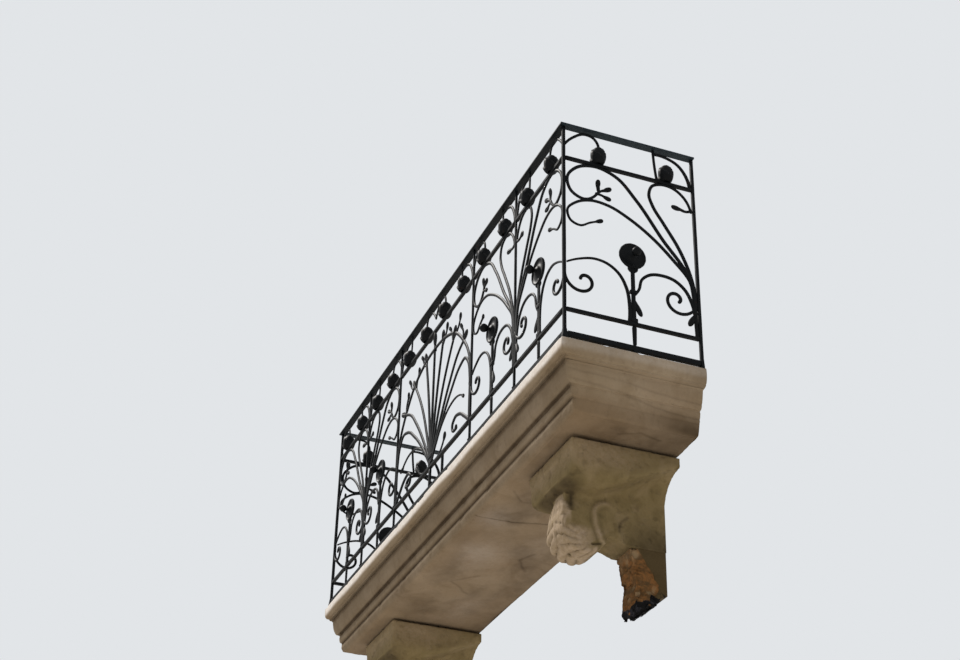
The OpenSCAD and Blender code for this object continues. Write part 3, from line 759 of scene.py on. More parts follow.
def sprig(shape, p):
    """Three leaves at the end of the first loop."""
    for stalk, blade in [
        ([(25, 80.8), (26, 84.2), (25, 88.4)], [(25, 82.9), (25.5, 90)]),
        ([(23.5, 79.5), (29, 83.6), (34, 85.2)], [(28, 82.9), (35.5, 86)]),
        ([(24, 80.5), (30, 79.7), (34, 78.4)], [(28, 80.3), (35, 77.8)]),
    ]:
        strand(shape, p, p.bay(stalk), slender, slender * 0.7, depth=0.0075)
        leaf(shape, p, p.bay(blade), 0.9 * leaf_width)


def inner_leaf(shape, p):
    """Leaf that points in from the upright, inside the narrow loop."""
    leaf(shape, p, p.bay([(93, 84.4), (83, 84.7)]), leaf_width)
    strand(shape, p, p.bay([(90, 84.4), (95, 83.8), (99, 85.2)]), slender, slender, depth=0.0076)


def arches(shape, p):
    """Arches and coils on both sides of the disc flower's stem."""
    w = p.width
    strand(shape, p, p.bay([
        (47, 0), (47.5, 12.3), (45.5, 22.2), (40, 30.4),
        (31.5, 35.1), (21.5, 36.3), (11, 34.2), (1.2, 30.4),
    ]), stout, tip, depth=0.0088)
    coil(
        shape, p, p.bay([(13.5, 20.8)])[0], 0.145 * w, 0.027 * w, 172, 520,
        slender + 0.001, slender + 0.003,
    )
    strand(shape, p, p.bay([
        (52, 19.2), (55, 23), (57.5, 29.9), (63.5, 34.2), (73.5, 35.9),
        (83.5, 34.5), (91, 29.9), (96, 21.9), (98.4, 11), (98.6, 0),
    ]), slender, stout, depth=0.0084)
    coil(
        shape, p, p.bay([(84, 22.4)])[0], 0.16 * w, 0.025 * w, 0, -395,
        slender + 0.001, slender + 0.004,
    )
    leaf(shape, p, p.bay([(99.4, 16.7), (92.5, 7.1)]), leaf_width)
    leaf(shape, p, p.bay([(51.5, 15.8), (56, 5.8)]), leaf_width)


def collar(shape, panel, u, v, width, height):
    """Forged band wrapped round the bars and strands that meet at a place."""
    across, out = section(collar_sides, 0.4)
    steps = [(-0.5, 0.93), (-0.42, 1), (-0.12, 1), (0, 0.96), (0.12, 1), (0.42, 1), (0.5, 0.93)]
    rings = []
    for dv, swell in steps:
        ring = np.column_stack([
            u + across * width / 2 * swell,
            np.full(collar_sides, v + dv * height),
            out * collar_depth / 2 * swell,
        ])
        rings.append(panel.place(ring))
    shape.rings(rings)


def bay_scroll(name, panel, node):
    shape = Shape()
    for part in (whiplash, sprig, inner_leaf, arches):
        part(shape, panel)
    iron_piece(name, shape, node)


def fan_stems(shape, p):
    """Stems that spread from the foot of the fan."""
    for knots, depth in [
        ([(0, 4.1), (5.3, 27.4), (12.6, 54.8), (22.7, 82.9)], 0.0094),
        ([(0, 2.7), (11.7, 24.7), (30, 52.1), (50.6, 73.4)], 0.0088),
        ([(0, 1.6), (19.8, 23), (46.2, 46.3), (64.4, 58.6), (78.1, 63)], 0.0084),
    ]:
        strand(shape, p, p.bay(knots), stout + 0.004, slender + 0.003, depth=depth)
    strand(shape, p, p.bay([
        (0.4, 0.8), (23.9, 20.8), (49.8, 37.8), (70.4, 47.4), (84.6, 49),
        (93.5, 42.7), (97.6, 31.5), (98.2, 13.7), (98.4, 0),
    ]), stout, stout, depth=0.0080)


def fan_arch(shape, p):
    """Arch over the stems, and the curls at the foot of the fan."""
    strand(shape, p, p.bay([
        (98, 26), (96.8, 43.8), (90.3, 53.7), (77.7, 64.7), (57.5, 77), (30.4, 84.1), (0, 86.2)
    ]), stout, stout, depth=0.0091)
    strand(shape, p, p.bay([
        (14.2, 12.3), (30, 22.2), (48.2, 27.5), (66.8, 27.9), (83.4, 23)
    ]), slender, tip, depth=0.0078)
    leaf(shape, p, p.bay([(77.7, 25.2), (85.8, 21.6)]), 0.8 * leaf_width)
    strand(shape, p, p.bay([
        (99.2, 0.8), (87, 7.7), (74, 13.4), (62.8, 14.5), (56.3, 11), (57.9, 6.6), (64.4, 5.8)
    ]), stout + 0.003, slender, depth=0.0096)
    leaf(shape, p, p.bay([(61.9, 5.3), (69.6, 7.1)]), leaf_width)
    strand(shape, p, p.bay([(12.1, 0.8), (25.9, 3), (35.6, 9.3)]), slender, tip, depth=0.0076)
    leaf(shape, p, p.bay([(32.4, 6.8), (39.7, 12.3)]), leaf_width)


def fan_buds(shape, p):
    """Buds at the ends of the stems, with the twigs beside them."""
    for blade in [
        [(21.1, 80.8), (25.1, 91.5)], [(49.4, 72.3), (59.1, 82.2)], [(75.3, 62.5), (90.3, 67.1)]
    ]:
        leaf(shape, p, p.bay(blade), leaf_width + 0.004, thick=0.009)
    for twig, blade in [
        ([(21.9, 80.8), (28.3, 84.4), (34, 90.4)], [(30.8, 87.4), (36, 93.4)]),
        ([(50.2, 72.6), (48.6, 78.9), (43.3, 84.4)], [(46.2, 82.2), (41.3, 87.1)]),
        ([(53, 75.3), (63.2, 78.4), (68.8, 83.8)], [(66.4, 81.4), (71.3, 87.1)]),
        ([(76.9, 63), (78.1, 69.3), (73.7, 75.3)], [(75.3, 72.6), (71.7, 78.4)]),
    ]:
        strand(shape, p, p.bay(twig), slender, tip, depth=0.0074)
        leaf(shape, p, p.bay(blade), 0.8 * leaf_width)


def fan(name, node):
    shape = Shape()
    width = bay - bar_width / 2
    for side in (1, -1):
        p = Panel((0, front_y, deck), (side, 0, 0), (0, -1, 0), width)
        for part in (fan_stems, fan_arch, fan_buds):
            part(shape, p)
    p = Panel((0, front_y, deck), (1, 0, 0), (0, -1, 0), width)
    low = lower_high.z - deck + seat
    stem = [(0, low + 0.011), (0, lower_level + 0.88 * rise)]
    strand(shape, p, stem, stem_width, 0.014, depth=0.0100)
    leaf(shape, p, p.bay([(0, 86), (0, 99.0)]), leaf_width + 0.008, thick=0.010, lift=0.002)
    below = lower_low.z - base_high - 2 * seat
    block(shape, 0, front_y, base_high + seat, stem_width, bar_depth, below)
    for level, width, height in [
        (low + 0.009, 0.034, 0.017),
        (lower_level + 0.075 * rise, 0.050, 0.018),
        (lower_level + 0.855 * rise, 0.026, 0.014),
    ]:
        collar(shape, p, 0, level, width, height)
    iron_piece(name, shape, node)


# Railing: disc flowers and buds


def disc_profile():
    """Turned profile of the disc flower from its back to its knob."""
    r, t = disc_radius, disc_thick / 2
    back = [(0.0006, -t), (0.30 * r, -t * 0.96), (0.6 * r, -t * 0.82), (0.86 * r, -t * 0.62)]
    rim = [
        (r * (0.93 + 0.07 * math.cos(a)), t * 0.30 + t * 0.72 * math.sin(a))
        for a in np.radians([-80, -40, 0, 35, 70, 105, 140])
    ]
    face = [(0.84 * r, t * 0.52), (0.66 * r, t * 0.34), (0.48 * r, t * 0.42), (0.38 * r, t * 0.9)]
    boss = [
        (0.34 * r, t + 0.002), (0.28 * r, t + 0.005), (0.18 * r, t + 0.007), (0.13 * r, t + 0.010)
    ]
    neck = [(0.12 * r, t + knob_neck)]
    centre = t + knob_neck + 0.78 * knob_radius
    knob = [
        (knob_radius * math.sin(a), centre - knob_radius * math.cos(a))
        for a in np.radians(np.arange(24, 180, 12))
    ]
    return back + rim + face + boss + neck + knob + [(0.0006, centre + knob_radius)]


def petals(angle, h):
    """Shallow petal lines on the disc, none on the knob."""
    return 0.0 if h > disc_thick / 2 else 0.010 * abs(math.sin(8 * angle)) - 0.010


def disc_flower(shape, panel, u):
    """A disc flower on its stem, with a cup of small leaves under it."""
    level = lower_level + disc_share / 100 * rise
    foot = base_high - deck + seat
    under = lower_low.z - deck - seat
    low = lower_high.z - deck + seat
    w = stem_width
    strand(shape, panel, [(u, foot + 0.009), (u, under - 0.010)], w * 0.8, w, depth=bar_depth)
    strand(
        shape, panel, [(u, low + 0.011), (u, low + 0.10), (u, level - 0.7 * disc_radius)],
        w, w * 0.86, depth=bar_depth,
    )
    collar(shape, panel, u, low + 0.009, w + 0.012, 0.017)
    collar(shape, panel, u, lower_level + 0.205 * rise, 0.030, 0.015)
    for lean in (-1, 1):
        foot_end = (u + lean * 0.004, level - 1.32 * disc_radius)
        top_end = (u + lean * 0.020, level - 0.92 * disc_radius)
        leaf(shape, panel, [foot_end, top_end], 0.016)
    lathe(
        shape, panel.place([u, level, 0]), panel.axes[2], disc_profile(), sides=48, ripple=petals
    )


def bud_profile():
    r, h = bud_radius, bud_height
    low = [
        (r * (0.58 + 0.42 * math.sin(a)), 0.40 * h * (1 - math.cos(a)))
        for a in np.radians(np.arange(8, 91, 10))
    ]
    high = [
        (r * (0.20 + 0.80 * math.cos(a)), h * (0.40 + 0.54 * math.sin(a)))
        for a in np.radians(np.arange(10, 88, 11))
    ]
    return [(0.50 * r, 0.0), (0.58 * r, 0.002)] + low + high + [(0.19 * r, 0.93 * h), (0.15 * r, h)]


def furled(angle, h):
    """Three furled petals that turn round the bud."""
    turn = (3 * angle / (2 * math.pi) + 1.6 * h / bud_height) % 1
    return 0.20 * turn**1.5 - 0.13


def bud(shape, x, y):
    """A furled bud that stands on the upper rail, in a small cup."""
    z = upper_high.z + seat
    lathe(shape, (x, y, z), (0, 0, 1), bud_profile(), sides=36, ripple=furled)
    r = bud_radius
    cup = [
        (0.42 * r, 0.0), (0.55 * r, 0.003), (0.62 * r, 0.010), (0.60 * r, 0.0125), (0.3 * r, 0.0125)
    ]
    lathe(shape, (x, y, z), (0, 0, 1), cup, sides=20)


def bud_arcs(shape, p):
    """Arcs between the uprights, the buds and the handrail."""
    strand(shape, p, p.band([
        (0, 42.6), (6.5, 71.4), (15, 91), (22, 87.1), (25.6, 70), (26, 44)
    ]), slender, slender, depth=0.0084)
    strand(shape, p, p.band([(70, 97), (70.5, 62.2), (72.2, 2)]), slender, slender, depth=0.0078)
    strand(shape, p, p.band([
        (70, 85.8), (80, 85.8), (90, 70.1), (96, 40), (98.8, 5)
    ]), slender, stout, depth=0.0088)


def front_panel(side, start, step, edge, far):
    """Panel of one front bay, from an upright and along by step, 1 outward or -1 inward."""
    origin = (side * (start + step * edge), front_y, deck)
    return Panel(origin, (side * step, 0, 0), (0, -1, 0), bay - edge - far)


def side_panel(side):
    edge = post_side / 2
    width = rail_depth - edge - post_side
    return Panel((side * corner_x, front_y + edge, deck), (0, 1, 0), (side, 0, 0), width)


def make_railing():
    half_bar = bar_width / 2
    half_post = post_side / 2
    flowers = Shape()
    front_buds = Shape()
    for side, word in ((1, "right"), (-1, "left")):
        post(f"corner_post_{word}", side, front_y, foot_side, f"post_{word}")
        post(f"wall_post_{word}", side, -half_post, post_side, f"wall_post_{word}")
        bars(f"front_bars_{word}", side, f"bars_{word}")
        # The side handrails get a strong painted reflection of the sky, the front handrail a faint
        # one.
        handrail(f"handrail_{word}_top", side_route(side), f"handrail_{word}", 0.85)
        for kind in ("upper_rail", "lower_rail"):
            plain_bar(f"{kind}_{word}_bar", f"{kind}_{word}")
        base_rail(f"base_rail_{word}_bar", f"base_rail_{word}", [(side * corner_x, front_y / 2)])
        outer = front_panel(side, corner_x, -1, half_post, half_bar)
        inner = front_panel(side, bay, 1, half_bar, half_bar)
        across = side_panel(side)
        for place, panel in (("outer", outer), ("inner", inner), ("side", across)):
            bay_scroll(f"scrollwork_{place}_{word}", panel, f"scroll_{place}_{word}")
        disc_flower(flowers, outer, bay / 2 - half_post)
        disc_flower(flowers, inner, bay / 2 - half_bar)
        side_flower = Shape()
        disc_flower(side_flower, across, rail_depth / 2 - half_post)
        iron_piece(f"disc_flower_side_{word}", side_flower, f"disc_side_{word}")
        middle_panel = front_panel(side, 0, 1, 0.0, half_bar)
        for p in (outer, inner, middle_panel):
            bud_arcs(front_buds, p)
        for i in range(6):
            bud(front_buds, side * (i + 0.5) * bay / 2, front_y)
        side_buds = Shape()
        bud_arcs(side_buds, across)
        for share in (0.26, 0.78):
            bud(side_buds, side * corner_x, front_y + share * rail_depth)
        iron_piece(f"buds_on_{word}", side_buds, f"buds_side_{word}")
    iron_piece("disc_flowers_front", flowers, "discs_front")
    iron_piece("buds_on_front", front_buds, "buds_front")
    fan("fan_middle", "fan")
    handrail("handrail_front_top", front_route, "handrail_front", 0.12)
    for kind, low, high in (("upper", upper_low, upper_high), ("lower", lower_low, lower_high)):
        front_rail(f"{kind}_rail_front_bars", low.z, high.z, f"{kind}_rail_front")
    base_rail("base_rail_front_bar", "base_rail_front", [(k * bay, front_y) for k in range(-2, 3)])


# Stone: the slab's two courses


def rounded(edge, radius):
    """An edge profile with each corner eased by up to a radius."""
    points = [np.array(edge[0])]
    for a, b, c in zip(edge, edge[1:], edge[2:]):
        a, b, c = np.array(a), np.array(b), np.array(c)
        before, after = a - b, c - b
        cut = min(radius, 0.45 * np.linalg.norm(before), 0.45 * np.linalg.norm(after))
        p = b + before / np.linalg.norm(before) * cut
        q = b + after / np.linalg.norm(after) * cut
        points += [p, 0.25 * p + 0.5 * b + 0.25 * q, q]
    points.append(np.array(edge[-1]))
    return points


def filled(points, longest):
    """The same line with points added so that no gap is longer than given."""
    out = [points[0]]
    for a, b in zip(points, points[1:]):
        steps = max(1, math.ceil(np.linalg.norm(b - a) / longest))
        out += [a + (b - a) * i / steps for i in range(1, steps + 1)]
    return np.array(out)


def weathered(edge, reach):
    """The insets of an edge profile once weather has blurred its members over a reach."""
    along = np.concatenate([[0], np.cumsum(np.linalg.norm(np.diff(edge, axis=0), axis=1))])
    weights = np.exp(-(((along[:, None] - along[None, :]) / reach) ** 2)) * np.gradient(along)
    soft = weights @ edge[:, 0] / weights.sum(1)
    soft[[0, -1]] = edge[[0, -1], 0]
    return soft


def course(name, edge, spacing, sheets):
    """A stone course with one edge profile on its front and both sides.

    edge lists inset and level from top to bottom. sheets says whether its top and its underside
    are a close grid or one plain face. The sides are more worn than the front."""
    along = round(2 * reach_x / spacing)
    deep = round(reach_y / spacing)
    ring = np.arange(2 * deep + along + 1)
    on_side = np.maximum(deep - ring, ring - deep - along)
    share = 0.12 + 0.83 * step_up(on_side * spacing, -0.05, 0.08)
    u = np.clip((ring - deep) / along, 0, 1) * 2 - 1
    v = np.minimum(1, np.minimum(ring, ring[::-1]) / deep)
    soft = weathered(edge, 0.042)
    points, levels = [], []
    for (inset, z), worn_inset in zip(edge, soft):
        off = inset + (worn_inset - inset) * share
        x = u * (reach_x - np.where(on_side >= 0, off, off[deep]))
        y = -v * (reach_y - np.where(on_side <= 0, off, off[deep]))
        levels.append(len(points))
        points += list(zip(x, y, np.full(len(ring), z)))
    faces = []
    count = len(ring)
    for k in range(len(edge) - 1):
        for i in range(count - 1):
            a, b = levels[k] + i, levels[k + 1] + i
            faces.append((a, b, b + 1, a + 1))
    back_top = [levels[0] + count - 1, levels[0]]
    back_low = [levels[-1], levels[-1] + count - 1]
    for k, close in ((0, sheets[0]), (len(edge) - 1, sheets[1])):
        start = levels[k]
        if not close:
            faces.append(tuple(range(start, start + count)))
            continue
        x, y = reach_x - edge[k][0], reach_y - edge[k][0]
        grid = np.zeros((along + 1, deep + 1), int)
        for i in range(along + 1):
            for j in range(deep + 1):
                if i == 0:
                    grid[i, j] = start + j
                elif j == deep:
                    grid[i, j] = start + deep + i
                elif i == along:
                    grid[i, j] = start + 2 * deep + along - j
                else:
                    grid[i, j] = len(points)
                    points.append((-x + 2 * x * i / along, -y * j / deep, edge[k][1]))
        for i in range(along):
            for j in range(deep):
                faces.append((grid[i, j], grid[i, j + 1], grid[i + 1, j + 1], grid[i + 1, j]))
        row = [int(i) for i in grid[:, 0]]
        if k == 0:
            back_top = row[::-1]
        else:
            back_low = row
    left = [levels[k] for k in range(1, len(edge) - 1)]
    right = [levels[k] + count - 1 for k in range(len(edge) - 2, 0, -1)]
    faces.append(tuple(back_top + left + back_low + right))
    piece = make_object(name, points, [tuple(int(i) for i in f) for f in faces])
    face_out(piece)
    return piece


def read_points(piece):
    """Places and normals of a piece's points."""
    rows = []
    for name in ("co", "normal"):
        values = np.zeros(len(piece.data.vertices) * 3)
        piece.data.vertices.foreach_get(name, values)
        rows.append(values.reshape(-1, 3))
    return rows


def write_points(piece, points):
    """New places for the points, none of them behind the wall's face."""
    points[:, 1] = np.minimum(points[:, 1], 0)
    piece.data.vertices.foreach_set("co", np.asarray(points, np.float32).ravel())
    piece.data.update()


def carve(piece, points, normals, depth):
    """Points pressed in by a depth along their normals."""
    write_points(piece, points - normals * depth[:, None])


def off_wall(points, depth):
    """A depth that is nothing on the points at the wall's face."""
    return np.where(points[:, 1] > -wall_margin, 0, depth)


def write_values(piece, name, values):
    """A number on each point, for the material."""
    layer = piece.data.attributes.new(name, "FLOAT", "POINT")
    layer.data.foreach_set("value", np.clip(values, 0, 1).astype(np.float32))


def field(points, scale, octaves=4, offset=0.0, squeeze=(1, 1, 1)):
    """Fractal noise at each point, about -1 to 1."""
    moved = points * np.array(squeeze) * scale + offset
    return np.array([noise.fractal(Vector(p), 0.9, 2.1, octaves) for p in moved])


def step_up(values, low, high):
    t = np.clip((values - low) / (high - low), 0, 1)
    return t * t * (3 - 2 * t)


def near(values, reach):
    """1 where the values are zero, falling away over a reach."""
    return np.exp(-((values / reach) ** 2))


def spot(points, x, y, wide, deep):
    """A soft round patch at a place seen from above."""
    return np.exp(-(((points[:, 0] - x) / wide) ** 2) - ((points[:, 1] - y) / deep) ** 2)


def line_gap(places, line):
    """How far each place, given in two coordinates, is from a bent line."""
    best = np.full(len(places), 9.0)
    for start, end in zip(line, line[1:]):
        a, b = np.array(start), np.array(end)
        t = np.clip((places - a) @ (b - a) / ((b - a) @ (b - a)), 0, 1)
        best = np.minimum(best, np.linalg.norm(places - a - t[:, None] * (b - a), axis=1))
    return best


def slab_edge():
    """Upper course: flat fascia with an eased arris, an ovolo under it and a small fillet."""
    drop = deck - layer_z - fascia_band - fillet
    ovolo = [
        (ovolo_inset * (1 - math.cos(a)), deck - fascia_band - drop * math.sin(a))
        for a in np.radians(range(9, 91, 9))
    ]
    arris = [(0.03, deck), (0.008, deck), (0.002, deck - 0.003), (0, deck - 0.009)]
    inset = ovolo_inset + 0.006
    return arris + [(0, deck - fascia_band)] + ovolo + [(inset, layer_z + fillet), (inset, layer_z)]


def mould_edge():
    """Lower course: a tall hollow, two quirks with a bead between, and an ovolo to the soffit."""
    s0 = ovolo_inset + 0.012
    s1 = s0 + 0.004 + hollow_depth
    s2 = s1 + 0.011
    bead = bead_height / 2
    last = soffit_inset + 0.012
    high_step, low_step = quirk_high - quirk_drop, quirk_low - quirk_drop
    sweep_in = [
        (
            s1 - hollow_depth * math.cos(a),
            bed_top - hollow_lip - (hollow_height - hollow_lip) * math.sin(a),
        )
        for a in np.radians(range(0, 91, 9))
    ]
    round_bead = [
        (s1 + 0.012 - 0.008 * math.cos(a), high_step - bead + bead * math.sin(a))
        for a in np.radians(range(60, -61, -20))
    ]
    to_soffit = [
        (last - (last - s2) * math.cos(a), low_step - (low_step - soffit) * math.sin(a))
        for a in np.radians([22.5, 45, 67.5, 90])
    ]
    return (
        [(s0, bed_top), (s0, bed_top - 0.007)]
        + sweep_in
        + [(s1 + quirk_inset, quirk_high), (s1 + quirk_inset, high_step)]
        + round_bead
        + [(s2 + quirk_inset, quirk_low), (s2 + quirk_inset, low_step)]
        + to_soffit
        + [(last + 0.02, soffit)]
    )


def from_edge(points):
    """How far in from the slab's front or nearer end each point lies."""
    return np.minimum(reach_x - np.abs(points[:, 0]), reach_y + points[:, 1])


def on_sides(points):
    """1 on the slab's two ends and 0 on its front, changing over a little at the corner."""
    return step_up(reach_y + points[:, 1] - reach_x + np.abs(points[:, 0]), -0.03, 0.03)


def make_slab():
    edge = filled(rounded(slab_edge(), 0.004), 0.009)
    piece = course("slab_course", edge, spacing=0.0105, sheets=(True, False))
    points, normals = read_points(piece)
    y, z = points[:, 1], points[:, 2]
    inset = from_edge(points)
    side = on_sides(points)
    wave = field(points, 3.0, 4)
    chips = step_up(field(points, 15.0, 4, 7.0), 0.30, 0.62)
    arris = near(z - deck, 0.014)
    low_arris = near(z - layer_z - 0.010, 0.010)
    depth = 0.0004 + 0.0010 * (wave + 1) + 0.0040 * chips * (arris + 0.7 * low_arris)
    outer = (inset < 0.032) & (y < -0.002)
    carve(piece, points, normals, np.where(outer, depth, 0))
    # Painted sunlight: the front fascia band turns pinkish white, the ends only faintly.
    band = step_up(z + 0.006 * wave, deck - 0.056, deck - 0.030)
    write_values(piece, "pale_and_lit", band * (1 - side) + 0.18 * band * side)
    write_values(piece, "wear_and_shade", 0.5 * step_up(wave, 0.0, 0.7) * outer)
    # Dark joint between the courses, painted shade on the front under the fascia band, and painted
    # shade on the ends by the wall.
    joint = near(z - layer_z, 0.010)
    below = step_up(-z, -deck + fascia_band, -layer_z)
    by_wall = 0.20 * near(y, 0.10)
    soiling_and_shade = (0.60 * joint + 0.22 * below) * (1 - side) + (0.10 * joint + by_wall) * side
    write_values(piece, "soiling_and_shade", soiling_and_shade)
    finish_piece(piece, ["slab"], slab_stone, sharp=50)


def soffit_relief(points):
    """Hollows, low worn terraces and a ridge of the underside, as a depth, and how worn it is."""
    drift = points.copy()
    drift[:, 0] += 0.10 * field(points, 2.3, 3, 3.0)
    drift[:, 1] += 0.08 * field(points, 2.9, 3, 11.0)
    value = field(drift, 1.7, 3, 5.0, (1.0, 2.2, 1.0))
    terraces = sum(step_up(value, level, level + 0.10) for level in (-0.18, 0.12, 0.38))
    ridge_line = [(-0.40, -0.24), (-0.30, -0.40), (-0.17, -0.24)]
    ridge = near(line_gap(points[:, :2], ridge_line), 0.022)
    hollows = 0.0012 * (1 + field(points, 4.2, 3, 17.0))
    return 0.0016 * terraces + hollows - 0.003 * ridge + 0.003, terraces / 3


def soffit_cracks(points):
    """Fine cracks and a joint that cross the underside."""
    bent = points[:, :2] + 0.012 * field(points, 7.0, 2, 23.0)[:, None]
    joint = [(0.400, -0.56), (0.415, -0.36), (0.512, -0.02)]
    cracks = near(line_gap(bent, joint), 0.0045)
    for line in (
        [(-0.41, -0.25), (-0.30, -0.37), (-0.18, -0.27)],
        [(0.70, -0.47), (0.62, -0.40), (0.64, -0.33)],
        [(-0.06, -0.10), (0.05, -0.17), (0.14, -0.14)],
        [(1.33, -0.30), (1.38, -0.22), (1.36, -0.12)],
    ):
        cracks = np.maximum(cracks, 0.5 * near(line_gap(bent, line), 0.006))
    return cracks


def make_mould():
    edge = filled(rounded(mould_edge(), 0.0022), 0.009)
    piece = course("moulded_course", edge, spacing=0.0075, sheets=(False, True))
    points, normals = read_points(piece)
    y, z = points[:, 1], points[:, 2]
    inset = from_edge(points)
    side = on_sides(points)
    wave = field(points, 3.4, 4, 20.0)
    chips = step_up(field(points, 17.0, 4, 31.0), 0.30, 0.66)
    relief, terraces = soffit_relief(points)
    cracks = soffit_cracks(points)
    flat = step_up(-z, -soffit - 0.014, -soffit - 0.002)
    lines = near(z - bed_top + 0.058 + 0.05 * y + 0.010 * wave, 0.0045)
    lines = np.maximum(lines, near(z + 0.060 + 0.09 * y + 0.012 * wave, 0.005))
    lines = lines * side * (1 - flat)
    depth = 0.0004 + (0.0009 + 0.0012 * side) * (wave + 1) + 0.0026 * chips + 0.0010 * lines
    depth = depth * (1 - flat) + flat * (relief + 0.0016 * cracks)
    carve(piece, points, normals, np.where(z < bed_top - 0.002, depth, 0))
    # Painted shade: dark lines in the two quirks.
    quirks = sum(near(z - level + 0.0025, 0.0042) for level in (quirk_high, quirk_low))
    quirks = quirks * (inset < 0.12)
    # A dark joint under the upper course, with a painted shadow line under its lip, strong on the
    # front.
    shelter = 0.7 * near(z - bed_top, 0.012) * (1 - side) + 0.12 * near(z - bed_top, 0.008) * side
    streaks = 0.22 * step_up(wave, 0.0, 0.8)
    low = step_up(-z, 0.02, 0.12)
    # Painted shade low on the ends, deepest by the wall.
    by_wall = 0.62 * near(y, 0.17) * low + 0.28 * low
    # Painted shade in the front hollow and the quirks; on the ends, painted shade in the quirks,
    # low down and by the wall, with faint dark lines of the worn layers.
    front = (0.34 + 0.9 * quirks) * (1 - side) * (1 - flat)
    ends = (0.10 * quirks + 0.20 * lines + by_wall) * side * (1 - flat)
    clouds = step_up(field(points, 3.1, 5, 61.0, (1.0, 1.6, 1.0)), -0.35, 0.65)
    # Painted shade on the underside, least at its front edge, deepest by the wall and near the
    # right end, under cloudy stains and dark cracks.
    edge_light = 1 - 0.45 * near(y + 0.50, 0.07)
    wall_shade = 0.24 * spot(points, 1.40, -0.10, 0.30, 0.26) + 0.20 * near(y, 0.16)
    under = flat * ((0.26 + 0.36 * clouds) * edge_light + 0.5 * cracks + wall_shade)
    write_values(piece, "soiling_and_shade", shelter + front + ends + under + 0.5 * streaks)
    pale_spots = [
        (1.0, 0.02, -0.36, 0.17, 0.12), (0.9, 0.42, -0.44, 0.10, 0.08),
        (0.5, -0.60, -0.20, 0.20, 0.10), (0.5, 0.20, -0.15, 0.12, 0.07),
    ]
    patches = sum(share * spot(points, *place) for share, *place in pale_spots)
    blush = low * side * near(y + 0.50, 0.13)
    write_values(piece, "pale_and_lit", flat * 0.24 * patches * (0.8 + 0.7 * wave))
    # Worn edges, and painted shade that browns the lower ends; on the underside, painted shade with
    # worn terraces.
    edge_wear_and_shade = 0.4 * step_up(wave, 0.0, 0.7) + 0.6 * side * low
    wear_and_shade = flat * (0.50 + 0.5 * terraces) + (1 - flat) * edge_wear_and_shade
    write_values(piece, "wear_and_shade", wear_and_shade + 0.9 * blush)
    finish_piece(piece, ["bed_mould"], slab_stone, sharp=50)


# Stone: the corbels


def cut_from(name, solids, voxel, ease):
    """A fine closed mesh over some solids, with eased edges, ready to be carved."""
    points, faces = [], []
    for solid_points, solid_faces in solids:
        start = len(points)
        points += list(solid_points)
        faces += [tuple(start + i for i in face) for face in solid_faces]
    piece = make_object(name, points, faces)
    face_out(piece, merge=0.00002)
    remesh = piece.modifiers.new("fine", "REMESH")
    remesh.mode = "VOXEL"
    remesh.voxel_size = voxel
    soften = piece.modifiers.new("ease", "SMOOTH")
    soften.factor = 0.5
    soften.iterations = ease
    graph = bpy.context.evaluated_depsgraph_get()
    graph.update()
    mesh = bpy.data.meshes.new_from_object(piece.evaluated_get(graph))
    piece.modifiers.clear()
    piece.data = mesh
    return piece


def node_solid(node):
    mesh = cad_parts[node].data
    return [v.co.copy() for v in mesh.vertices], [tuple(p.vertices) for p in mesh.polygons]


def loft(rings):
    """Points and faces of a closed solid through some rings."""
    shape = Shape()
    shape.rings([np.array(ring) for ring in rings])
    return shape.points[0], shape.faces


def drum_solid(x, y, z, radius, half):
    """A plain drum along the wall."""
    around = [2 * math.pi * i / drum_sides for i in range(drum_sides)]
    return loft([
        [(x + end * half, y + radius * math.cos(a), z + radius * math.sin(a)) for a in around]
        for end in (-1, 1)
    ])


def relax(piece, points, weight, rounds):
    """Points drawn towards the middle of their neighbours, as far as their weight allows."""
    ends = np.zeros(len(piece.data.edges) * 2, int)
    piece.data.edges.foreach_get("vertices", ends)
    a, b = ends.reshape(-1, 2).T
    start, other = np.concatenate([a, b]), np.concatenate([b, a])
    count = np.bincount(start, minlength=len(points))
    for _ in range(rounds):
        mean = np.stack([np.bincount(start, points[other, i], len(points)) for i in range(3)], 1)
        points = points + weight[:, None] * (mean / count[:, None] - points)
    return points


class Corbel:
    """Places on one corbel, and the measures that its carving follows."""

    def __init__(self, side, word):
        self.word = word
        self.x = side * corbel_x
        self.plate_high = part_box(f"plate_{word}")[1].z
        self.plate_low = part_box(f"plate_{word}")[0].z
        self.front = -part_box(f"plate_{word}")[0].y
        self.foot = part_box(f"console_{word}")[0].z
        low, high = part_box(f"volute_{word}")
        self.axis_y, self.axis_z = (low.y + high.y) / 2, (low.z + high.z) / 2
        self.radius = (high.z - low.z) / 2
        self.half = console_width / 2
        self.drum_half = self.half + 0.005

    def shoulder(self):
        """The leaf's body in front of the console, which widens from its neck to the scroll."""
        rings = []
        for drop, half, depth in [
            (0.100, 0.036, 0.040), (0.125, 0.042, 0.036), (0.150, 0.056, 0.030),
            (0.178, 0.072, 0.024), (0.214, 0.080, 0.020), (0.262, 0.080, 0.018),
        ]:
            z, front, back = self.plate_low - drop, -self.front + depth, -self.front + 0.066
            outline = [
                (-half, back), (-half, front + 0.016),
                (-half + 0.008, front + 0.005), (-half + 0.022, front),
            ]
            outline += [(-x, y) for x, y in outline[::-1]]
            rings.append([(self.x + x, y, z) for x, y in outline])
        return loft(rings)

    def solids(self):
        nodes = [node_solid(f"{kind}_{self.word}") for kind in ("plate", "console")]
        axis = self.x, self.axis_y, self.axis_z
        drum = drum_solid(*axis, self.radius, self.drum_half)
        bridge = drum_solid(*axis, self.radius + 0.002, self.half - 0.012)
        return nodes + [drum, bridge, self.shoulder()]


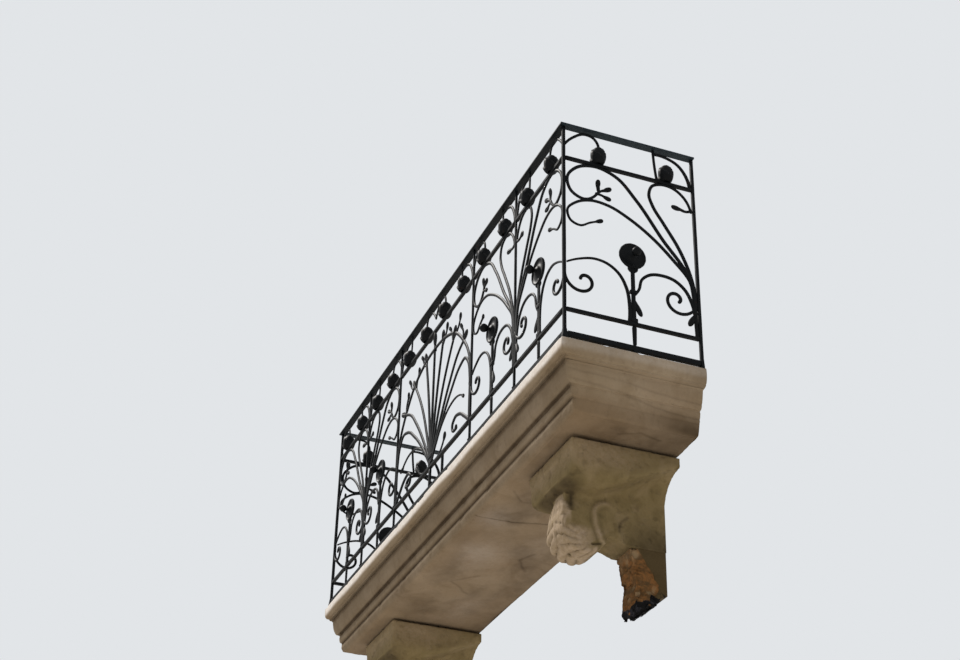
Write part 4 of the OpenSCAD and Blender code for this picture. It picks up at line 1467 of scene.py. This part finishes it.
def fan_phase(c, dy, dz):
    """Where a line from the leaf's root through each point meets the rim, and how far along."""
    root = np.array([0.024, -0.062])
    way = np.stack([dy - root[0], dz - root[1]], 1)
    length = np.linalg.norm(way, axis=1) + 1e-6
    way /= length[:, None]
    lean = way @ root
    reach = -lean + np.sqrt(lean**2 + c.radius**2 - root @ root)
    rim = root + way * reach[:, None]
    return np.degrees(np.arctan2(rim[:, 1], -rim[:, 0])), length / reach


def lobes(angle):
    """Broad rounded lobes with narrow grooves between them, 1 on a lobe and 0 in a groove."""
    return np.abs(np.sin(math.pi * angle / lobe_step)) ** 0.45


def carve_scroll(c, points):
    """The leaf that curls over the scroll: lobes round the drum and over its ends."""
    along = points[:, 0] - c.x
    across = np.abs(along)
    dy, dz = points[:, 1] - c.axis_y, points[:, 2] - c.axis_z
    distance = np.hypot(dy, dz)
    angle = np.degrees(np.arctan2(dz, -dy))
    rim_angle, share = fan_phase(c, dy, dz)
    within = distance < c.radius * 1.05
    end_gate = step_up(rim_angle, -150, -130) * (1 - step_up(dz, -0.022, 0.016)) * within
    on_end = step_up(across, c.half - 0.010, c.half - 0.003) * end_gate
    end_groove = (1 - lobes(rim_angle)) * step_up(share, 0.20, 0.80)
    drum_gate = step_up(angle, -140, -120) * (1 - step_up(angle, 25, 48)) * (dy < 0.05) * within
    on_rim = step_up(distance, c.radius * 0.89, c.radius * 0.95)
    drum = on_rim * step_up(across, 0.004, 0.014) * drum_gate
    lean, inward = 240, 0.024
    slant = angle - lean * (c.drum_half - across)
    drum_groove = (1 - lobes(slant)) * drum
    eyes = np.zeros(len(points))
    for k in range(-4, 2):
        turn = angle - k * lobe_step - lean * inward
        place = np.hypot(across - c.drum_half + inward, np.radians(turn) * c.radius)
        eyes = np.maximum(eyes, near(place, 0.0062) * drum)
    place = np.hypot(along, np.radians(angle + drilled_angle) * c.radius)
    drilled = near(place, 0.0085) * within
    groove = np.maximum(end_groove * on_end, drum_groove)
    depth = 0.0075 * groove + 0.006 * eyes + 0.014 * drilled
    # Where painted light falls: the scroll's ends and the rim of the drum.
    end_form = end_gate * (1 - 0.75 * step_up(dy, -0.025, 0.050))
    rim_share = step_up(distance, c.radius * 0.80, c.radius * 0.90)
    form = np.maximum(end_form, drum_gate * rim_share)
    # Painted shade in the grooves, the eyes and the drilled hole.
    crease_shade = np.maximum(0.30 * groove, 0.45 * eyes)
    return depth, form, np.maximum(crease_shade, drilled)


def carve_front_leaf(c, points, normals):
    """The leaf down the front of the console: narrow at its top, with flutes that fan out below."""
    x, y, z = points.T
    across = np.abs(x - c.x)
    drop = c.plate_low - z
    facing = step_up(-normals[:, 1], 0.35, 0.8)
    here = facing * step_up(drop, 0.125, 0.140) * step_up(z, c.axis_z + 0.05, c.axis_z + 0.09)
    outline = 0.036 + 0.046 * step_up(drop, 0.12, 0.20)
    in_front = step_up(-y, c.front - 0.062, c.front - 0.052)
    on_leaf = (1 - step_up(across - outline, -0.002, 0.006)) * in_front
    here = here * on_leaf
    side_leaf = step_up(drop, 0.11, 0.13) * step_up(z, c.axis_z, c.axis_z + 0.06) * on_leaf
    flutes = np.abs(np.cos(math.pi * (2.2 * across / outline + 0.2))) ** 0.6
    groove = here * (1 - flutes) * step_up(drop, 0.13, 0.19)
    # Returns the flutes' depth, where painted light falls on the leaf, and painted shade in the
    # flutes.
    return 0.0045 * groove, np.maximum(here, 0.9 * side_leaf), 0.35 * groove


def carve_cheek(points, normals):
    """The soft leaf in low relief on each cheek: a rim and a crease, a curl and a slit below."""
    on_cheek = step_up(np.abs(normals[:, 0]), 0.45, 0.8)
    places = points[:, 1:]
    spine = [(-0.262, -0.385), (-0.258, -0.440), (-0.262, -0.480)]
    curl_line = [(-0.165, -0.372), (-0.194, -0.396), (-0.206, -0.440)]
    slit_line = [(-0.322, -0.514), (-0.286, -0.506)]
    radius = 0.054 - 0.024 * step_up(-places[:, 1], 0.42, 0.49)
    inward = radius - line_gap(places, spine)
    faint = 1 - step_up(places[:, 0], -0.290, -0.215)
    body = step_up(inward, -0.006, 0.008) * faint * on_cheek
    rim = near(inward - 0.004, 0.0085) * faint * on_cheek
    crease = near(inward - 0.024, 0.009) * faint * on_cheek
    curl = near(line_gap(places, curl_line), 0.006) * on_cheek
    slit = near(line_gap(places, slit_line), 0.0042) * on_cheek
    outside = near(inward + 0.012, 0.007) * faint * on_cheek
    depth = 0.0020 * crease - 0.0040 * body - 0.0022 * rim
    depth = depth + 0.0014 * outside + 0.003 * curl + 0.007 * slit
    # Returns the depth, the rim that gets a painted highlight, and painted shade in the crease,
    # outside the rim, in the curl and in the slit.
    return depth, rim, np.clip(0.25 * crease + 0.30 * outside + 0.5 * curl + 0.9 * slit, 0, 1)


def softened(c, points):
    """How far each point relaxes: on the splay under the plate, by the scroll, on the mound."""
    x, y, z = points.T
    across = np.abs(x - c.x)
    splay = step_up(c.plate_high - 0.010 - z, 0.002, 0.020)
    splay = splay * step_up(z, c.plate_low - 0.170, c.plate_low - 0.110)
    splay = splay * step_up(-y, 0.0005, 0.002) * step_up(across, c.half - 0.012, c.half + 0.004)
    blend = step_up(across, c.half - 0.01, c.half + 0.002) * near(y - c.axis_y - 0.03, 0.10)
    blend = blend * near(z - c.axis_z - 0.05, 0.08) * 0.8
    oval = np.hypot((y - 0.72 * c.axis_y) / 0.040, (z - c.plate_low + 0.1483) / 0.058)
    mound = near(oval - 1, 0.45) * step_up(across, c.half - 0.004, c.half)
    return np.clip(0.75 * splay + blend + mound, 0, 0.75)


def make_corbel(side, word):
    """Plate, hollowed bell, console and scroll as one carved stone."""
    c = Corbel(side, word)
    piece = cut_from(f"corbel_{word}", c.solids(), voxel=0.0037, ease=2)
    points, _ = read_points(piece)
    across, z = np.abs(points[:, 0] - c.x), points[:, 2]  # from before the points relax
    write_points(piece, relax(piece, points, softened(c, points), rounds=44))
    points, normals = read_points(piece)
    y = points[:, 1]
    scroll, scroll_form, scroll_shade = carve_scroll(c, points)
    leaf_depth, leaf_form, leaf_shade = carve_front_leaf(c, points, normals)
    cheek, cheek_form, cheek_shade = carve_cheek(points, normals)
    wave = field(points, 13.0, 4, 50.0)
    pits = step_up(field(points, 30.0, 3, 90.0), 0.25, 0.7)
    depth = scroll + leaf_depth + cheek + 0.0007 * (wave + 1) + 0.0016 * pits
    carve(piece, points, normals, off_wall(points, depth))
    joint = 0.95 * near(z - c.plate_high, 0.009)
    # Painted shade on the underside below the front block.
    underside = step_up(-normals[:, 2], 0.15, 0.60) * near(z - c.plate_low + 0.115, 0.045)
    hollow = underside * step_up(-y, 0.365, 0.425) * (1 - 0.6 * step_up(across, 0.10, 0.20))
    # Painted shade in the recess between the front leaf and the cheek.
    recess = near(across - c.half + 0.004, 0.016) * near(y + c.front - 0.060, 0.013)
    recess = recess * step_up(c.plate_low - z, 0.11, 0.13) * (z > c.axis_z + 0.06)
    forms = np.clip(scroll_form + leaf_form, 0, 1)
    # Painted shade in the carved grooves, creases and recesses.
    crease_shade = np.maximum(np.maximum(scroll_shade, leaf_shade), np.maximum(cheek_shade, recess))
    # Painted shade low on the back, by the wall.
    low_back = step_up(-z, -c.plate_low + 0.13, -c.foot) * near(np.minimum(y + 0.07, 0), 0.11)
    dark = joint + 0.80 * hollow + 0.80 * low_back + 0.2 * pits
    write_values(piece, "soiling_and_shade", dark + np.maximum(crease_shade, 0.75 * recess) * (1 - 0.3 * hollow))
    # Painted light on the plate's upper front and on the carved leaves and scroll, with a painted
    # highlight on the cheek rim, all less under painted shade; also faint random paler patches.
    upper = 0.42 * step_up(z, c.plate_low - 0.10, c.plate_low) * near(y + 0.36, 0.22)
    pale_and_lit = forms * (1 - crease_shade) * (0.95 - 0.3 * hollow) + 0.50 * cheek_form
    pale_and_lit = pale_and_lit + 0.12 * step_up(wave, 0.0, 0.6)
    write_values(piece, "pale_and_lit", pale_and_lit + upper * (1 - hollow))
    nodes = [f"{kind}_{word}" for kind in ("plate", "console", "volute")]
    finish_piece(piece, nodes, carved_stone, sharp=60)


def make_whole_tail():
    """The tail in one piece: a fluted front that ends in a small scroll."""
    piece = cut_from("tail_whole_left", [node_solid("tail_left")], voxel=0.0040, ease=3)
    points, normals = read_points(piece)
    x, y, z = points.T
    across = np.abs(x + corbel_x)
    front = step_up(-normals[:, 1], 0.4, 0.8) * step_up(0.062 - across, 0, 0.008)
    flutes = np.abs(np.sin(math.pi * across / 0.026)) ** 0.7
    wave = field(points, 14.0, 4, 60.0)
    depth = 0.005 * (1 - flutes) * front + 0.0008 * (wave + 1)
    carve(piece, points, normals, depth)
    low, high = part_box("tail_left")
    # Painted shade in the flutes and by the wall, with random darker patches.
    by_wall = 0.80 * near(y, 0.13) * step_up(z, low.z - 0.10, high.z)
    soiling_and_shade = 0.5 * (1 - flutes) * front + 0.3 * step_up(wave, 0.2, 0.8) + by_wall
    write_values(piece, "soiling_and_shade", soiling_and_shade)
    # Painted light on the ridges between the flutes.
    write_values(piece, "pale_and_lit", 0.4 * front * flutes)
    finish_piece(piece, ["tail_left"], carved_stone, sharp=60)


def make_broken_tail():
    """The tail with its skin gone: a lumpy core, jagged and black at the break."""
    low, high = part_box("tail_right")
    solid_points, solid_faces = node_solid("tail_right")
    lift = 0.012
    for p in solid_points:
        p.z += lift if p.z > high.z - 0.001 else 0
    piece = cut_from("tail_broken_right", [(solid_points, solid_faces)], voxel=0.0032, ease=2)
    points, normals = read_points(piece)
    y, z = points[:, 1], points[:, 2]
    lumps = field(points, 24.0, 5, 70.0)
    slabs = field(points, 10.0, 4, 80.0, (0.7, 0.7, 2.0))
    skin_reach = 0.040 + 0.075 * step_up(z, low.z + 0.12, high.z) ** 1.5 + 0.018 * slabs
    core = 1 - step_up(y, -skin_reach - 0.010, -skin_reach)
    scarp = step_up(slabs, 0.02, 0.10) + step_up(slabs, 0.25, 0.33)
    depth = core * (0.0040 + 0.0042 * (lumps + 1) + 0.0045 * scarp) + 0.0008 * (lumps + 1)
    rim = step_up(z, high.z - 0.012, high.z + 0.004)
    depth = depth - (0.0012 + 0.0016 * lumps) * rim * (1 - core)
    carve(piece, points, normals, off_wall(points, depth))
    ragged = z - low.z - 0.050 * lumps - 0.30 * (y - low.y)
    write_values(piece, "core", core)
    write_values(piece, "soiling_and_shade", 1 - step_up(ragged, 0.045, 0.080))
    at_ends = near(z - high.z, 0.05) + 0.8 * near(z - low.z - 0.11, 0.03)
    crumbs = step_up(lumps, 0.10, 0.45) * at_ends
    # Painted highlight on the core at the shoulder of the break.
    shoulder = near(z - high.z + 0.012, 0.020) * near(y - low.y - 0.02, 0.035)
    write_values(piece, "pale_and_lit", (crumbs + shoulder * (1 + lumps)) * core)
    finish_piece(piece, ["tail_right"], broken_stone, sharp=60)


# Light, floor and camera


def make_stage():
    world = bpy.data.worlds.new("studio")
    bpy.context.scene.world = world
    world.use_nodes = True
    nodes, links = world.node_tree.nodes, world.node_tree.links
    nodes.clear()
    output = nodes.new("ShaderNodeOutputWorld")
    mixer = nodes.new("ShaderNodeMixShader")
    light = nodes.new("ShaderNodeBackground")
    light.inputs["Color"].default_value = (0.96, 0.98, 1.0, 1)
    light.inputs["Strength"].default_value = 0.52
    shown = nodes.new("ShaderNodeBackground")
    shown.inputs["Color"].default_value = (*linear(226, 229, 232), 1)
    rays = nodes.new("ShaderNodeLightPath")
    seen = nodes.new("ShaderNodeMath")
    seen.operation = "MAXIMUM"
    links.new(rays.outputs["Is Camera Ray"], seen.inputs[0])
    links.new(rays.outputs["Is Transmission Ray"], seen.inputs[1])
    links.new(seen.outputs[0], mixer.inputs[0])
    links.new(light.outputs[0], mixer.inputs[1])
    links.new(shown.outputs[0], mixer.inputs[2])
    links.new(mixer.outputs[0], output.inputs[0])

    sun = bpy.data.lights.new("sun", "SUN")
    sun.energy = 3.2
    sun.angle = math.radians(6)
    sun.color = (1.0, 0.965, 0.92)
    lamp = bpy.data.objects.new("sun", sun)
    bpy.context.scene.collection.objects.link(lamp)
    shine = Vector((0.530, 0.342, -0.776))
    lamp.rotation_mode = "QUATERNION"
    lamp.rotation_quaternion = shine.to_track_quat("-Z", "Y")

    ground = -4.6
    size = 40.0
    corners = [(x * size, y * size, ground) for x, y in ((-1, -1), (1, -1), (1, 1), (-1, 1))]
    floor = make_object("floor", corners, [(0, 1, 2, 3)])
    f = Finish("floor")
    f.shade("Base Color", (206, 204, 200))
    f.shade("Roughness", 0.95)
    floor.data.materials.append(f.material)


def make_camera():
    """Camera below the balcony and to its right, looking up."""
    place = Vector((6.428, -2.834, -3.252 + deck))
    yaw, pitch, roll = 1.205, 0.546, 0.025
    focal_pixels, frame_pixels = 1651.2, 960
    flat = math.cos(pitch)
    forward = Vector((-math.sin(yaw) * flat, math.cos(yaw) * flat, math.sin(pitch)))
    right = Vector((math.cos(yaw), math.sin(yaw), 0))
    up = right.cross(forward)
    rolled_right = math.cos(roll) * right + math.sin(roll) * up
    rolled_up = -math.sin(roll) * right + math.cos(roll) * up
    data = bpy.data.cameras.new("camera")
    data.sensor_width = 36
    data.lens = focal_pixels / frame_pixels * data.sensor_width
    camera = bpy.data.objects.new("camera", data)
    turn = Matrix((rolled_right, rolled_up, -forward)).transposed().to_4x4()
    camera.matrix_world = Matrix.Translation(place) @ turn
    bpy.context.scene.collection.objects.link(camera)
    bpy.context.scene.camera = camera


bpy.context.scene.view_settings.view_transform = "Standard"
make_railing()
make_slab()
make_mould()
for side, word in ((1, "right"), (-1, "left")):
    make_corbel(side, word)
make_whole_tail()
make_broken_tail()
make_stage()
make_camera()
